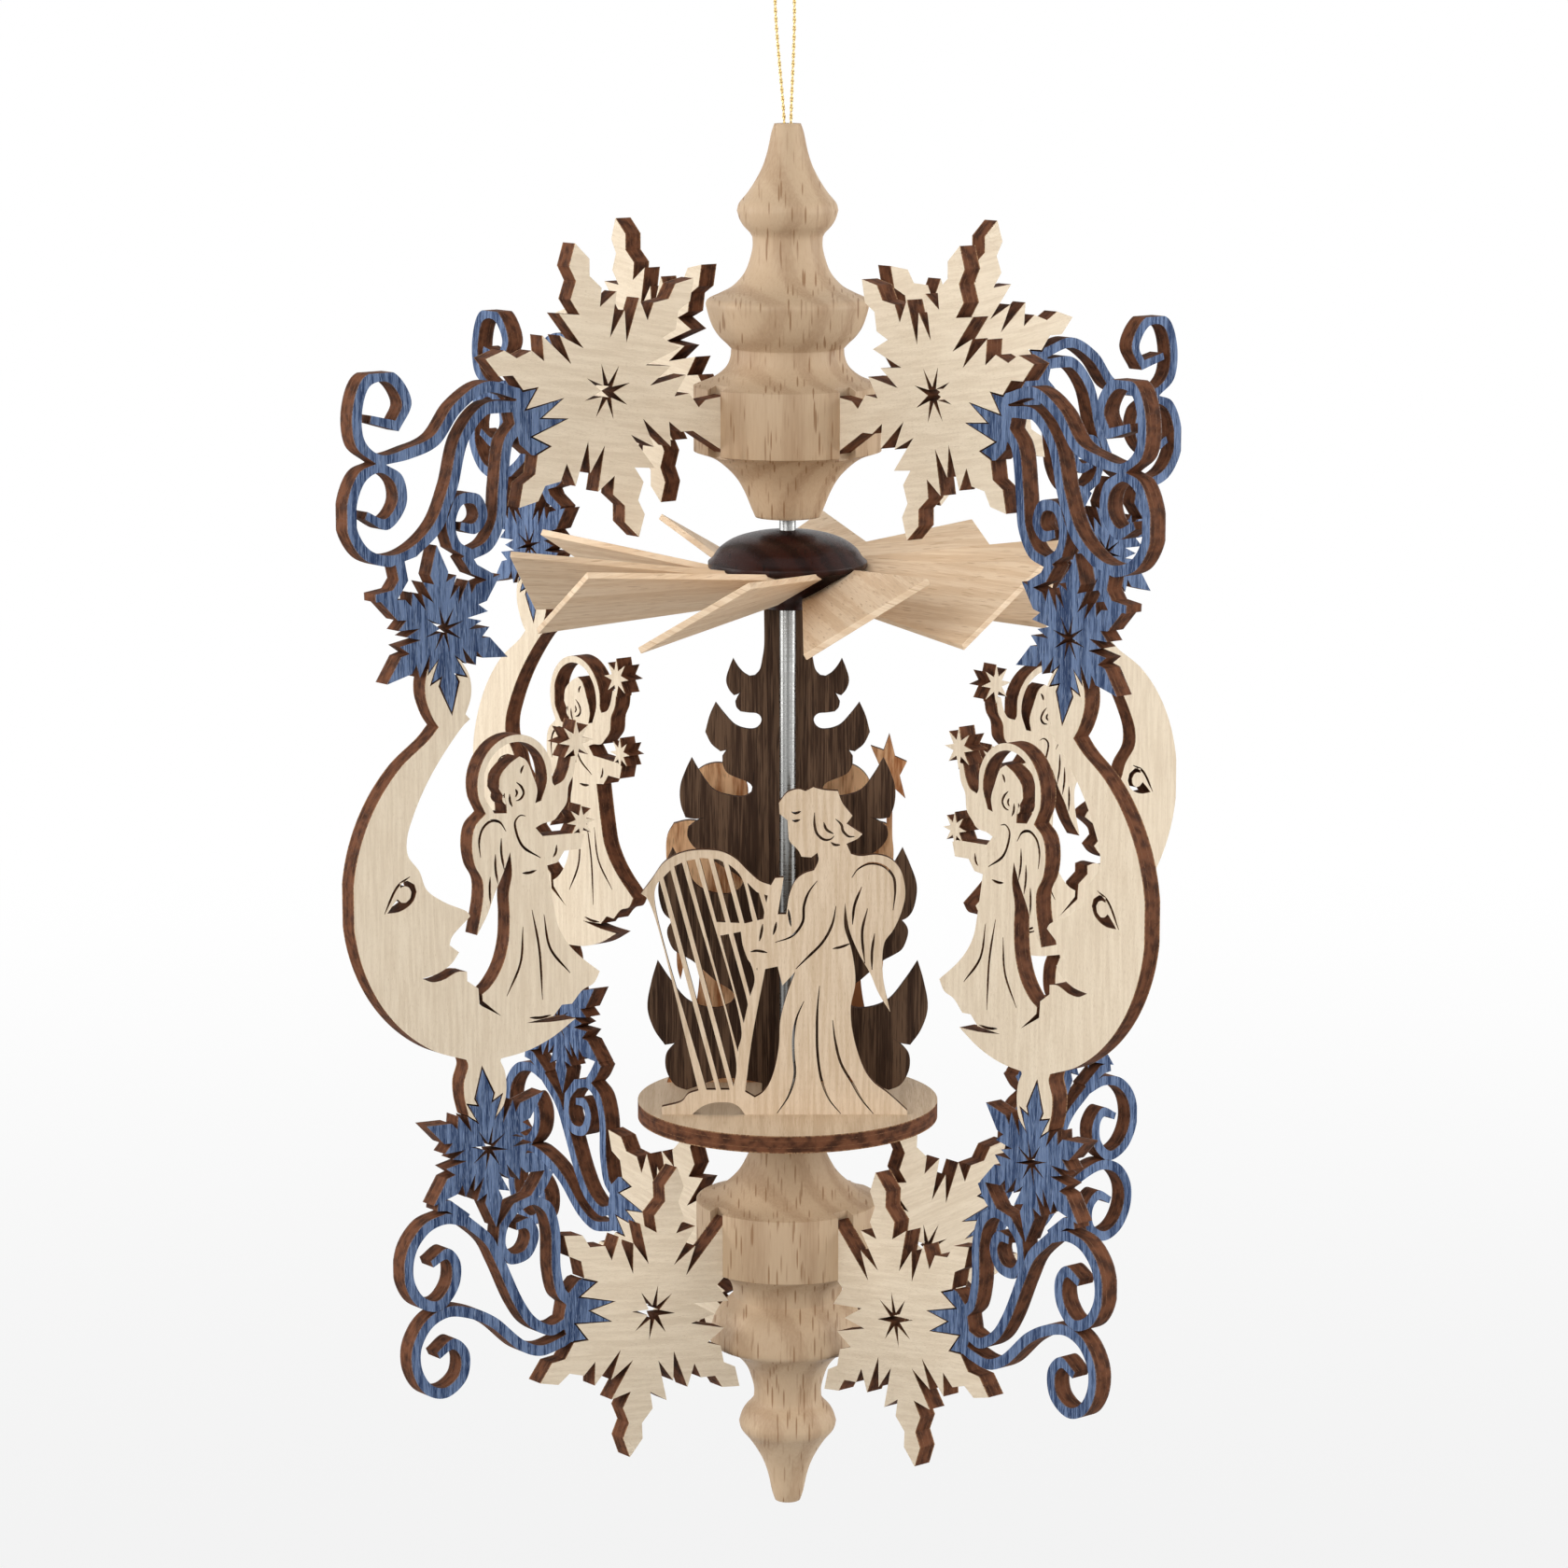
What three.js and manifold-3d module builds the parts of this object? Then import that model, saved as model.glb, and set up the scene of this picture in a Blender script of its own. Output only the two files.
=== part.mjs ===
// A hanging heat spinner in fretted plywood.
// Two turned finials carry four flat arms of inlaid snowflakes, scrolls and moons.
// Inside them a shaft turns freely with a wheel of slanted blades, a disc, a tree and figures.
// Millimetres, +Z up, the origin where the thread loop hangs on its hook, figures facing -Y.
import * as THREE from 'three';
import { mergeVertices } from 'three/addons/utils/BufferGeometryUtils.js';
import Module from 'manifold-3d';

// Gaps between neighbours
const seatGap = 0.3;
const inlayGap = 0.3;
const overrun = 1;

// Turned finials, the same piece at both ends
const finialLength = 59;
const collarStart = 10.1;
const collarHeight = 9.8;
const collarRadius = 14.2;
const cageHeight = 96.6;
const finialSides = 18;

// Pivot in the lower finial and thread hole in the upper one
const cupRadius = 3;
const cupDepth = 5;
const coneRadius = 2.3;
const coneDepth = 3.6;
const threadHoleRadius = 1;
const threadHoleDepth = 6;
const turnedHoleSides = 16;

// Plywood arms
const panelThick = 3;
const armCount = 4;
const armTurn = THREE.MathUtils.degToRad(39.2);
const slotDepth = 1.5;
const footInset = 0.6;

// Shares of the height between the finials that the arms are drawn in
const snowRadiusShare = 0.2329;
const smallSnowRadiusShare = 0.1263;
const upperSnowOutShare = 0.2164;
const upperSnowRiseShare = 0.0647;
const lowerSnowOutShare = 0.1382;
const lowerSnowDropShare = 0.0823;
const strandWidthShare = 0.0166;
const scrollFieldShare = 0.5176;
const moonFieldShare = 0.5072;
const moonInsetShare = 0.059;

const snowRadius = snowRadiusShare * cageHeight;
const smallSnowRadius = smallSnowRadiusShare * cageHeight;
const upperSnowReach = collarRadius + upperSnowOutShare * cageHeight;
const upperSnowRise = upperSnowRiseShare * cageHeight;
const lowerSnowReach = collarRadius + lowerSnowOutShare * cageHeight;
const lowerSnowDrop = lowerSnowDropShare * cageHeight;
const strandWidth = strandWidthShare * cageHeight;
const scrollField = scrollFieldShare * cageHeight;
const moonField = moonFieldShare * cageHeight;
const moonInset = moonInsetShare * cageHeight;

// Turns of the snowflakes and of the stars cut through them
const snowArms = 6;
const upperSnowTurn = THREE.MathUtils.degToRad(15.5);
const lowerSnowTurn = THREE.MathUtils.degToRad(-18);
const smallSnowTurn = THREE.MathUtils.degToRad(24.8);
const upperStarTurn = THREE.MathUtils.degToRad(30.5);
const lowerStarTurn = THREE.MathUtils.degToRad(12);

// Spinner
const shaftRadius = 1.25;
const shaftPointLength = 2.2;
const shaftEntry = 8;
const bearingDepth = 9;
const shaftSides = 16;
const discRadius = 23.2;
const discThick = 2.7;
const discLift = 3.2;
const discSides = 36;
const grooveDepth = 0.8;
const treeThick = 1;
const figureThick = 1.2;
const figureFieldShare = 2.155;
const angelSetoutShare = 0.4397;
const backSetbackShare = 0.431;
const figureField = figureFieldShare * discRadius;
const angelSetout = angelSetoutShare * discRadius;
const backSetback = backSetbackShare * discRadius;

// Hub and blades
const hubHang = 2;
const hubHeight = 11.9;
const hubRadius = 12.1;
const hubSides = 24;
const bladeCount = 10;
const bladeThick = 1;
const bladeReach = 39.9;
const bladeRoot = 6.6;
const bladeTipWidth = 21;
const bladeRootWidth = 8.7;
const bladeOffset = 5.1;
const bladeLift = 3.9;
const bladePitch = THREE.MathUtils.degToRad(30.5);
const bladeTurn = THREE.MathUtils.degToRad(-116.8);

// Thread loop
const threadRadius = 0.25;
const threadSides = 8;
const loopRise = 24;
const loopHalfWidth = 1.2;
const loopFootHalfWidth = 0.5;
const loopDrift = 0.5;
const loopSteps = 20;

// Heights from the lower finial's tip
const upperFoot = finialLength + cageHeight;
const topTip = upperFoot + finialLength;
const upperCollar = upperFoot + collarStart + collarHeight / 2;
const lowerCollar = finialLength - collarStart - collarHeight / 2;
const discBottom = finialLength + discLift;
const discTop = discBottom + discThick;
const hubBottom = upperFoot - hubHang - hubHeight;
const hangHeight = topTip + loopRise - threadRadius;
const grooveFloor = discTop - grooveDepth;
const footLevel = grooveFloor + seatGap;
const treeFieldShare = 0.6468;
const treeField = treeFieldShare * (hubBottom - footLevel);

// Middle planes of the standing pieces
const treeMiddle = shaftRadius + seatGap + treeThick / 2;
const angelMiddle = figureThick / 2 - angelSetout;
const backMiddle = backSetback + figureThick / 2;

const wasm = await Module();
wasm.setup();

// Turns a closed geometry into a solid that can be joined and cut.
function toSolid(geometry) {
  const bare = geometry.clone();
  bare.deleteAttribute('normal');
  bare.deleteAttribute('uv');
  const merged = mergeVertices(bare);
  return new wasm.Manifold(new wasm.Mesh({
    numProp: 3,
    vertProperties: new Float32Array(merged.attributes.position.array),
    triVerts: new Uint32Array(merged.index.array),
  }));
}

function toGeometry(solid) {
  const mesh = solid.getMesh();
  const geometry = new THREE.BufferGeometry();
  geometry.setAttribute('position', new THREE.BufferAttribute(mesh.vertProperties, 3));
  geometry.setIndex(new THREE.BufferAttribute(mesh.triVerts, 1));
  geometry.computeVertexNormals();
  return geometry;
}

function point(x, y) {
  return new THREE.Vector2(x, y);
}

function polar(centre, radius, angle) {
  return point(centre.x + radius * Math.cos(angle), centre.y + radius * Math.sin(angle));
}

// Points from a table of shares of one field, measured from a centre.
function placed(shares, field, centre) {
  return shares.map(([across, up]) => point(centre.x + across * field, centre.y + up * field));
}

// A smooth line through a few points, with two steps to each span. Two points make it straight.
function smooth(points) {
  const steps = points.length > 2 ? (points.length - 1) * 2 : 1;
  return new THREE.SplineCurve(points).getPoints(steps);
}

function arc(centre, radius, fromDegrees, toDegrees, steps) {
  const points = [];
  for (let step = 0; step <= steps; step += 1) {
    const degrees = THREE.MathUtils.lerp(fromDegrees, toDegrees, step / steps);
    points.push(polar(centre, radius, THREE.MathUtils.degToRad(degrees)));
  }
  return points;
}

// An upright plate whose outline lies in the XZ plane, with its middle on Y = 0.
function plate(outline, thick) {
  const shape = new THREE.Shape(outline);
  const geometry = new THREE.ExtrudeGeometry(shape, { depth: thick, bevelEnabled: false });
  geometry.translate(0, 0, -thick / 2);
  geometry.rotateX(Math.PI / 2);
  return geometry;
}

function plateSolid(outline, thick, holes = []) {
  let solid = toSolid(plate(outline, thick));
  holes.forEach((hole) => {
    solid = solid.subtract(toSolid(plate(hole, thick + overrun)));
  });
  return solid;
}

// Moves each side of an outline that runs anticlockwise outwards by the same distance.
function grown(outline, distance) {
  const count = outline.length;
  return outline.map((corner, index) => {
    const before = corner.clone().sub(outline[(index + count - 1) % count]).normalize();
    const after = outline[(index + 1) % count].clone().sub(corner).normalize();
    const normal = point(before.y + after.y, -before.x - after.x).normalize();
    const spread = Math.max(normal.x * before.y - normal.y * before.x, 1 / 2);
    return corner.clone().addScaledVector(normal, distance / spread);
  });
}

// A band of even width along a line, drawn in at its end.
const bandEndShare = 0.7;

function band(line, width) {
  const left = [];
  const right = [];
  line.forEach((spot, index) => {
    const last = index === line.length - 1;
    const ahead = line[Math.min(index + 1, line.length - 1)];
    const behind = line[Math.max(index - 1, 0)];
    const side = ahead.clone().sub(behind).normalize().multiplyScalar(width / 2);
    const half = last ? bandEndShare : 1;
    left.push(point(spot.x - side.y * half, spot.y + side.x * half));
    right.push(point(spot.x + side.y * half, spot.y - side.x * half));
  });
  return [...right, ...left.reverse()];
}

// Half the profile of a snowflake arm, [along, aside] in shares of the snowflake's radius,
// from the slot beside the tooth to the shoulder of the tip. The small ones lack the last two.
const snowArmShares = [
  [0.33, 0.11], [0.604, 0.24], [0.547, 0.084], [0.662, 0.129], [0.764, 0.056], [0.871, 0.084],
];
const smallSnowCorners = 4;
const snowToothShare = 0.54;
const snowStarShare = 0.19;
const snowStarCoreShare = 0.05;
const snowStarRays = 8;

// The outline of a snowflake. One arm can end in a foot instead of its tip.
function snowflake(centre, radius, turn, foot = null, corners = snowArmShares.length) {
  const outline = [];
  const half = snowArmShares.slice(0, corners);
  const sector = (2 * Math.PI) / snowArms;
  for (let arm = 0; arm < snowArms; arm += 1) {
    const angle = turn + arm * sector;
    const along = point(Math.cos(angle), Math.sin(angle));
    const aside = point(-along.y, along.x);
    const spot = (reach, out) => centre.clone()
      .addScaledVector(along, reach * radius)
      .addScaledVector(aside, out * radius);
    const rising = half.map(([reach, out]) => spot(reach, -out));
    const falling = half.map(([reach, out]) => spot(reach, out)).reverse();
    outline.push(polar(centre, snowToothShare * radius, angle - sector / 2));
    if (foot && foot.arm === arm) {
      outline.push(...rising.slice(0, foot.keepBefore), ...foot.points);
      outline.push(...falling.slice(falling.length - foot.keepAfter));
    } else {
      outline.push(...rising, spot(1, 0), ...falling);
    }
  }
  return outline;
}

function smallSnowflake(centre) {
  return snowflake(centre, smallSnowRadius, smallSnowTurn, null, smallSnowCorners);
}

// The star cut through the middle of a snowflake.
function star(centre, radius, core, turn) {
  const points = [];
  for (let step = 0; step < snowStarRays * 2; step += 1) {
    const reach = step % 2 === 0 ? radius : core;
    points.push(polar(centre, reach, turn + (step * Math.PI) / snowStarRays));
  }
  return points;
}

function snowStar(centre, turn) {
  return star(centre, snowStarShare * snowRadius, snowStarCoreShare * snowRadius, turn);
}

// Centres of the snowflakes, [distance from the shaft, height]
const upperSnow = point(upperSnowReach, upperCollar + upperSnowRise);
const lowerSnow = point(lowerSnowReach, lowerCollar - lowerSnowDrop);
const upperSmallShares = [[0.59, -0.643]];
const lowerSmallShares = [[0.605, 0.617]];
const [upperSmall] = placed(upperSmallShares, scrollField, upperSnow);
const [lowerSmall] = placed(lowerSmallShares, scrollField, lowerSnow);

// Feet of the big snowflakes in the slots of the collars
const footReach = collarRadius - slotDepth + seatGap;
const footHalfHeight = collarHeight / 2 - footInset;
const upperFootTipShares = [[-0.81, -0.105]];
const upperFootHeelShares = [[-0.702, -0.302]];

const upperFootShape = {
  arm: 3,
  keepBefore: 5,
  keepAfter: 4,
  points: [
    ...placed(upperFootTipShares, snowRadius, upperSnow),
    point(footReach, upperCollar + footHalfHeight),
    point(footReach, upperCollar - footHalfHeight),
    ...placed(upperFootHeelShares, snowRadius, upperSnow),
  ],
};
const lowerFootShape = {
  arm: 3,
  keepBefore: 1,
  keepAfter: 3,
  points: [
    point(footReach, lowerCollar + footHalfHeight),
    point(footReach, lowerCollar - footHalfHeight),
  ],
};

const upperSnowOutline = snowflake(upperSnow, snowRadius, upperSnowTurn, upperFootShape);
const lowerSnowOutline = snowflake(lowerSnow, snowRadius, lowerSnowTurn, lowerFootShape);
const upperSmallOutline = smallSnowflake(upperSmall);
const lowerSmallOutline = smallSnowflake(lowerSmall);

// A cutter that leaves the inlay gap all round a snowflake.
function inlayCutter(outline) {
  return plateSolid(grown(outline, inlayGap), panelThick + overrun);
}

// The root of a scroll, whose fingers fill the slots between two arms of the big snowflake,
// [along, aside] in shares of the snowflake's radius about the middle of the sector.
const rootShares = [
  [0.267, 0], [0.533, -0.258], [0.684, -0.204], [0.756, -0.107],
  [0.756, 0.107], [0.684, 0.204], [0.533, 0.258],
];

function scrollRoot(centre, turn) {
  return placed(rootShares, snowRadius, point(0, 0)).map((corner) => {
    corner.rotateAround(point(0, 0), turn - Math.PI / snowArms);
    return corner.add(centre);
  });
}

// Middle lines of the scrolls, in shares of their field from the big snowflake's centre
const upperStrandShares = [
  [
    [0.292, 0.008], [0.432, 0.04], [0.532, -0.012], [0.61, -0.1], [0.7, -0.13],
    [0.802, -0.144], [0.866, -0.094], [0.876, 0], [0.84, 0.082], [0.76, 0.088],
    [0.708, 0.012], [0.742, -0.05], [0.832, -0.026],
  ],
  [
    [0.312, -0.022], [0.432, -0.022], [0.51, -0.1], [0.554, -0.24], [0.606, -0.345],
    [0.69, -0.412], [0.772, -0.432], [0.852, -0.406], [0.9, -0.332], [0.896, -0.25],
    [0.86, -0.184], [0.8, -0.162], [0.74, -0.202], [0.73, -0.27], [0.782, -0.326],
    [0.852, -0.296],
  ],
  [
    [0.312, -0.072], [0.356, -0.12], [0.378, -0.25], [0.39, -0.35], [0.43, -0.415],
    [0.49, -0.438], [0.545, -0.405], [0.562, -0.34], [0.53, -0.278], [0.47, -0.28],
    [0.45, -0.33], [0.478, -0.362], [0.528, -0.352],
  ],
  [[0.512, -0.436], [0.482, -0.48], [0.418, -0.51]],
  [[0.742, -0.426], [0.728, -0.49], [0.758, -0.53], [0.824, -0.534]],
];
const lowerStrandShares = [
  [
    [0.282, 0.042], [0.382, 0.018], [0.45, 0.054], [0.5, 0.12], [0.568, 0.262],
    [0.61, 0.338], [0.69, 0.41], [0.762, 0.43], [0.83, 0.414], [0.884, 0.356],
    [0.896, 0.27], [0.856, 0.196], [0.79, 0.172], [0.736, 0.222], [0.73, 0.288],
    [0.76, 0.324], [0.814, 0.302],
  ],
  [
    [0.272, 0.002], [0.34, -0.026], [0.42, -0.038], [0.49, -0.01], [0.6, 0.086],
    [0.68, 0.128], [0.762, 0.146], [0.83, 0.12], [0.872, 0.056], [0.87, -0.016],
    [0.83, -0.078], [0.77, -0.098], [0.71, -0.062], [0.702, 0.006], [0.742, 0.046],
    [0.796, 0.02],
  ],
  [
    [0.242, 0.062], [0.302, 0.082], [0.345, 0.125], [0.364, 0.2], [0.368, 0.33],
    [0.394, 0.4], [0.446, 0.434], [0.51, 0.42], [0.556, 0.37], [0.564, 0.306],
    [0.53, 0.266], [0.47, 0.272], [0.444, 0.324], [0.466, 0.364], [0.51, 0.362],
  ],
  [[0.386, 0.514], [0.414, 0.472], [0.456, 0.428]],
  [[0.79, 0.474], [0.752, 0.468], [0.684, 0.42]],
];

// A blue scroll with its small snowflake, let into the slots of the big snowflake.
function scroll(strandShares, snow, snowTurn, snowOutline, smallOutline) {
  const root = plateSolid(scrollRoot(snow, snowTurn), panelThick);
  let solid = root;
  strandShares.forEach((shares) => {
    const line = placed(shares, scrollField, snow);
    solid = solid.add(plateSolid(band(line, strandWidth), panelThick));
  });
  solid = solid.subtract(inlayCutter(snowOutline));
  return toGeometry(solid.add(plateSolid(smallOutline, panelThick)));
}

// The moon's field sits between the two small snowflakes that it holds.
const moonMiddleShare = 0.503;
const moonTallShare = 0.6386;
const moonCentre = point(
  (upperSmall.x + lowerSmall.x) / 2 - moonInset,
  THREE.MathUtils.lerp(lowerSmall.y, upperSmall.y, moonMiddleShare),
);
const moonTall = (upperSmall.y - lowerSmall.y) * moonTallShare;

// Outline of the moon and its angel, in shares of the moon's field from the moon's centre
const rimShare = 0.522;
const hornRightShares = [[0.246, 0.666], [0.256, 0.626], [0.254, 0.582], [0.23, 0.522], [0.21, 0.494]];
const socketShares = [
  [0.12, -0.526], [0.136, -0.574], [0.134, -0.624], [0.12, -0.678], [0.048, -0.726],
  [-0.004, -0.676], [-0.018, -0.624], [-0.014, -0.564], [0.002, -0.53],
];
const hemShares = [
  [-0.186, -0.438], [-0.096, -0.428], [-0.196, -0.422], [-0.228, -0.392], [-0.266, -0.394],
  [-0.306, -0.358], [-0.35, -0.342], [-0.372, -0.31], [-0.296, -0.252], [-0.252, -0.208],
  [-0.218, -0.154], [-0.202, -0.092], [-0.188, -0.016], [-0.178, 0.038],
];
const handShares = [
  [-0.216, 0.042], [-0.242, 0.074], [-0.304, 0.072], [-0.316, 0.114], [-0.296, 0.122],
  [-0.162, 0.128], [-0.136, 0.156], [-0.16, 0.165], [-0.206, 0.172], [-0.224, 0.188],
  [-0.252, 0.218], [-0.26, 0.268], [-0.28, 0.302], [-0.29, 0.356], [-0.27, 0.354],
  [-0.258, 0.314], [-0.24, 0.286], [-0.208, 0.274],
];
const haloCentreShares = [-0.064, 0.304];
const haloOuterShare = 0.138;
const haloInnerShare = 0.117;
const wingShares = [
  [0.084, 0.186], [0.096, 0.132], [0.086, 0.07], [0.06, 0.024], [0.058, -0.028],
  [0.082, -0.138], [0.044, -0.082], [0.016, -0.022], [-0.016, 0.036], [-0.042, 0.096],
];
const robeShares = [
  [-0.048, 0.03], [-0.036, -0.028], [-0.038, -0.098], [-0.032, -0.178], [-0.006, -0.25],
  [0.036, -0.3], [0.066, -0.318], [0.064, -0.338], [-0.004, -0.394], [0.076, -0.348],
  [0.08, -0.298],
];
const profileShares = [
  [0.12, -0.27], [0.12, -0.242], [0.154, -0.238], [0.204, -0.254], [0.244, -0.256],
  [0.282, -0.24], [0.224, -0.232], [0.176, -0.21], [0.148, -0.18], [0.182, -0.154],
  [0.174, -0.132], [0.106, -0.078], [0.116, -0.064], [0.202, -0.022], [0.262, 0.022],
  [0.286, 0.078], [0.326, 0.13], [0.328, 0.182], [0.304, 0.246], [0.26, 0.326],
  [0.204, 0.402], [0.124, 0.488],
];
const hornLeftShares = [
  [0.098, 0.506], [0.114, 0.522], [0.096, 0.562], [0.092, 0.602], [0.102, 0.642],
  [0.13, 0.682], [0.186, 0.712],
];
const headShares = [
  [-0.136, 0.23], [-0.144, 0.268], [-0.128, 0.314], [-0.104, 0.362], [-0.08, 0.376],
  [-0.044, 0.358], [-0.01, 0.326], [-0.004, 0.288], [-0.028, 0.248], [-0.032, 0.212],
];
const eyeShares = [
  [0.355, 0.053], [0.329, 0.057], [0.304, 0.042], [0.297, 0.02], [0.308, -0.005],
  [0.333, -0.023], [0.365, -0.032], [0.402, -0.031], [0.384, -0.011], [0.365, 0.007],
  [0.351, -0.005], [0.335, -0.007], [0.32, 0.005], [0.316, 0.022], [0.324, 0.036],
  [0.339, 0.042], [0.355, 0.038],
];
const handStarShares = [[-0.29, 0.398, 0.064], [-0.306, 0.154, 0.052]];
const handStarCoreShare = 0.4;

function arcShares(centre, radius, fromDegrees, toDegrees, steps) {
  return arc(point(...centre), radius, fromDegrees, toDegrees, steps).map(({ x, y }) => [x, y]);
}

function onMoon(shares) {
  return shares.map(([across, up]) => point(
    moonCentre.x + across * moonField,
    moonCentre.y + up * moonTall,
  ));
}

// A crescent with a face in profile and an angel that holds up two stars.
function moonAngel() {
  const outline = onMoon([
    ...hornRightShares,
    ...arcShares([0, 0], rimShare, 62, -76, 10),
    ...socketShares,
    ...arcShares([0, 0], rimShare, -90, -122.4, 3),
    ...hemShares,
    ...handShares,
    ...arcShares(haloCentreShares, haloOuterShare, 188, -38, 9),
    ...wingShares,
    ...robeShares,
    ...profileShares,
    ...hornLeftShares,
  ]);
  const opening = onMoon([
    ...headShares,
    ...arcShares(haloCentreShares, haloInnerShare, -48, 216, 8),
  ]);
  let solid = plateSolid(outline, panelThick, [opening, onMoon(eyeShares)]);
  handStarShares.forEach(([across, up, reach]) => {
    const [centre] = onMoon([[across, up]]);
    const radius = reach * moonField;
    solid = solid.add(plateSolid(star(centre, radius, radius * handStarCoreShare, 0), panelThick));
  });
  solid = solid.subtract(inlayCutter(upperSmallOutline));
  return toGeometry(solid.subtract(inlayCutter(lowerSmallOutline)));
}

// Half profile of a finial, [height, radius]: the flare below the collar in shares of the
// collar's start and radius, the body above it in shares of what is left of the length.
const flareShares = [
  [0, 0.345], [0.149, 0.391], [0.376, 0.458], [0.594, 0.549], [0.802, 0.697], [0.911, 0.817],
];
const bodyShares = [
  [0.015, 0.894], [0.04, 0.75], [0.08, 0.64], [0.143, 0.599], [0.189, 0.725],
  [0.228, 0.795], [0.32, 0.868], [0.355, 0.711], [0.4, 0.53], [0.46, 0.42],
  [0.57, 0.373], [0.611, 0.465], [0.67, 0.535], [0.739, 0.423], [0.8, 0.32],
  [0.893, 0.215], [1, 0.141],
];

// A finial turned about the Z axis with its narrow foot at zero and its tip up.
function finialSolid() {
  const collarEnd = collarStart + collarHeight;
  const rest = finialLength - collarEnd;
  const profile = [
    point(0, 0),
    ...flareShares.map(([up, out]) => point(out * collarRadius, up * collarStart)),
    point(collarRadius, collarStart),
    point(collarRadius, collarEnd),
    ...bodyShares.map(([up, out]) => point(out * collarRadius, collarEnd + up * rest)),
    point(0, finialLength),
  ];
  let solid = toSolid(new THREE.LatheGeometry(profile, finialSides).rotateX(Math.PI / 2));
  for (let arm = 0; arm < armCount; arm += 1) {
    const slot = new THREE.BoxGeometry(
      slotDepth + overrun,
      panelThick + seatGap * 2,
      collarHeight + overrun * 2,
    );
    slot.translate(
      collarRadius + (overrun - slotDepth) / 2,
      0,
      collarStart + collarHeight / 2,
    );
    slot.rotateZ(armTurn + (arm * 2 * Math.PI) / armCount);
    solid = solid.subtract(toSolid(slot));
  }
  return solid;
}

function drill(radius, depth, foot) {
  const hole = new THREE.CylinderGeometry(radius, radius, depth + overrun, turnedHoleSides);
  hole.rotateX(Math.PI / 2);
  hole.translate(0, 0, foot + (depth - overrun) / 2);
  return toSolid(hole);
}

function upperFinial() {
  const bearing = drill(shaftRadius + seatGap, bearingDepth, 0);
  const threadHole = drill(threadHoleRadius, threadHoleDepth, finialLength - threadHoleDepth + overrun);
  const solid = finialSolid().subtract(bearing).subtract(threadHole);
  return toGeometry(solid).translate(0, 0, upperFoot);
}

// The same turning upside down, so its narrow head carries the pivot cup.
function lowerFinial() {
  const pocket = drill(cupRadius + seatGap, cupDepth + seatGap, 0);
  const solid = finialSolid().subtract(pocket);
  return toGeometry(solid).rotateX(Math.PI).rotateZ(armTurn * 2).translate(0, 0, finialLength);
}

function pivotCup() {
  const profile = [
    point(0, finialLength - cupDepth),
    point(cupRadius, finialLength - cupDepth),
    point(cupRadius, finialLength),
    point(coneRadius, finialLength),
    point(0, finialLength - coneDepth),
  ];
  return new THREE.LatheGeometry(profile, turnedHoleSides).rotateX(Math.PI / 2);
}

// The thread: up one strand, round its bight and down the other.
function hangingLoop() {
  const hidden = topTip - threadHoleDepth + seatGap + threadRadius;
  const crest = topTip + loopRise;
  const shoulder = crest - loopHalfWidth * 2;
  const route = [
    new THREE.Vector3(-loopFootHalfWidth, 0, hidden),
    new THREE.Vector3(-loopFootHalfWidth, 0, topTip),
    new THREE.Vector3(-loopHalfWidth - loopDrift, 0, shoulder),
    new THREE.Vector3(-loopDrift, 0, crest),
    new THREE.Vector3(loopHalfWidth - loopDrift, 0, shoulder),
    new THREE.Vector3(loopFootHalfWidth, 0, topTip),
    new THREE.Vector3(loopFootHalfWidth, 0, hidden),
  ];
  const section = new THREE.Shape(arc(point(0, 0), threadRadius, 0, 315, threadSides - 1));
  return new THREE.ExtrudeGeometry(section, {
    steps: loopSteps,
    bevelEnabled: false,
    extrudePath: new THREE.CatmullRomCurve3(route),
  });
}

function shaft() {
  const foot = finialLength - coneDepth + seatGap;
  const profile = [
    point(0, foot),
    point(shaftRadius, foot + shaftPointLength),
    point(shaftRadius, upperFoot + shaftEntry),
    point(0, upperFoot + shaftEntry),
  ];
  return new THREE.LatheGeometry(profile, shaftSides).rotateX(Math.PI / 2);
}

// A blade in its plane, its root towards the shaft, then pitched, set off and lifted.
function bladeSolid(growth) {
  const outline = [
    point(bladeRoot, -bladeRootWidth / 2),
    point(bladeReach, -bladeTipWidth / 2),
    point(bladeReach, bladeTipWidth / 2),
    point(bladeRoot, bladeRootWidth / 2),
  ];
  const geometry = new THREE.ExtrudeGeometry(new THREE.Shape(grown(outline, growth)), {
    depth: bladeThick + growth * 2,
    bevelEnabled: false,
  });
  geometry.translate(0, 0, -bladeThick / 2 - growth);
  geometry.rotateX(bladePitch);
  geometry.translate(0, bladeOffset, hubBottom + bladeLift);
  return geometry;
}

function bladeAngle(index) {
  return bladeTurn + (index * 2 * Math.PI) / bladeCount;
}

// Half profile of the hub, [radius, height] in shares of its own radius and height
const hubShares = [
  [0.298, 0], [0.43, 0.109], [0.669, 0.261], [0.818, 0.412], [1, 0.529], [1, 0.597],
  [0.95, 0.639], [0.868, 0.756], [0.702, 0.874], [0.438, 0.958],
];

// The turned hub with a slanting slot for each blade.
function hub() {
  const bore = shaftRadius + seatGap;
  const profile = [
    point(bore, hubBottom),
    ...hubShares.map(([out, up]) => point(out * hubRadius, hubBottom + up * hubHeight)),
    point(bore, hubBottom + hubHeight),
    point(bore, hubBottom),
  ];
  let solid = toSolid(new THREE.LatheGeometry(profile, hubSides).rotateX(Math.PI / 2));
  for (let index = 0; index < bladeCount; index += 1) {
    solid = solid.subtract(toSolid(bladeSolid(seatGap).rotateZ(bladeAngle(index))));
  }
  return toGeometry(solid);
}

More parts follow.
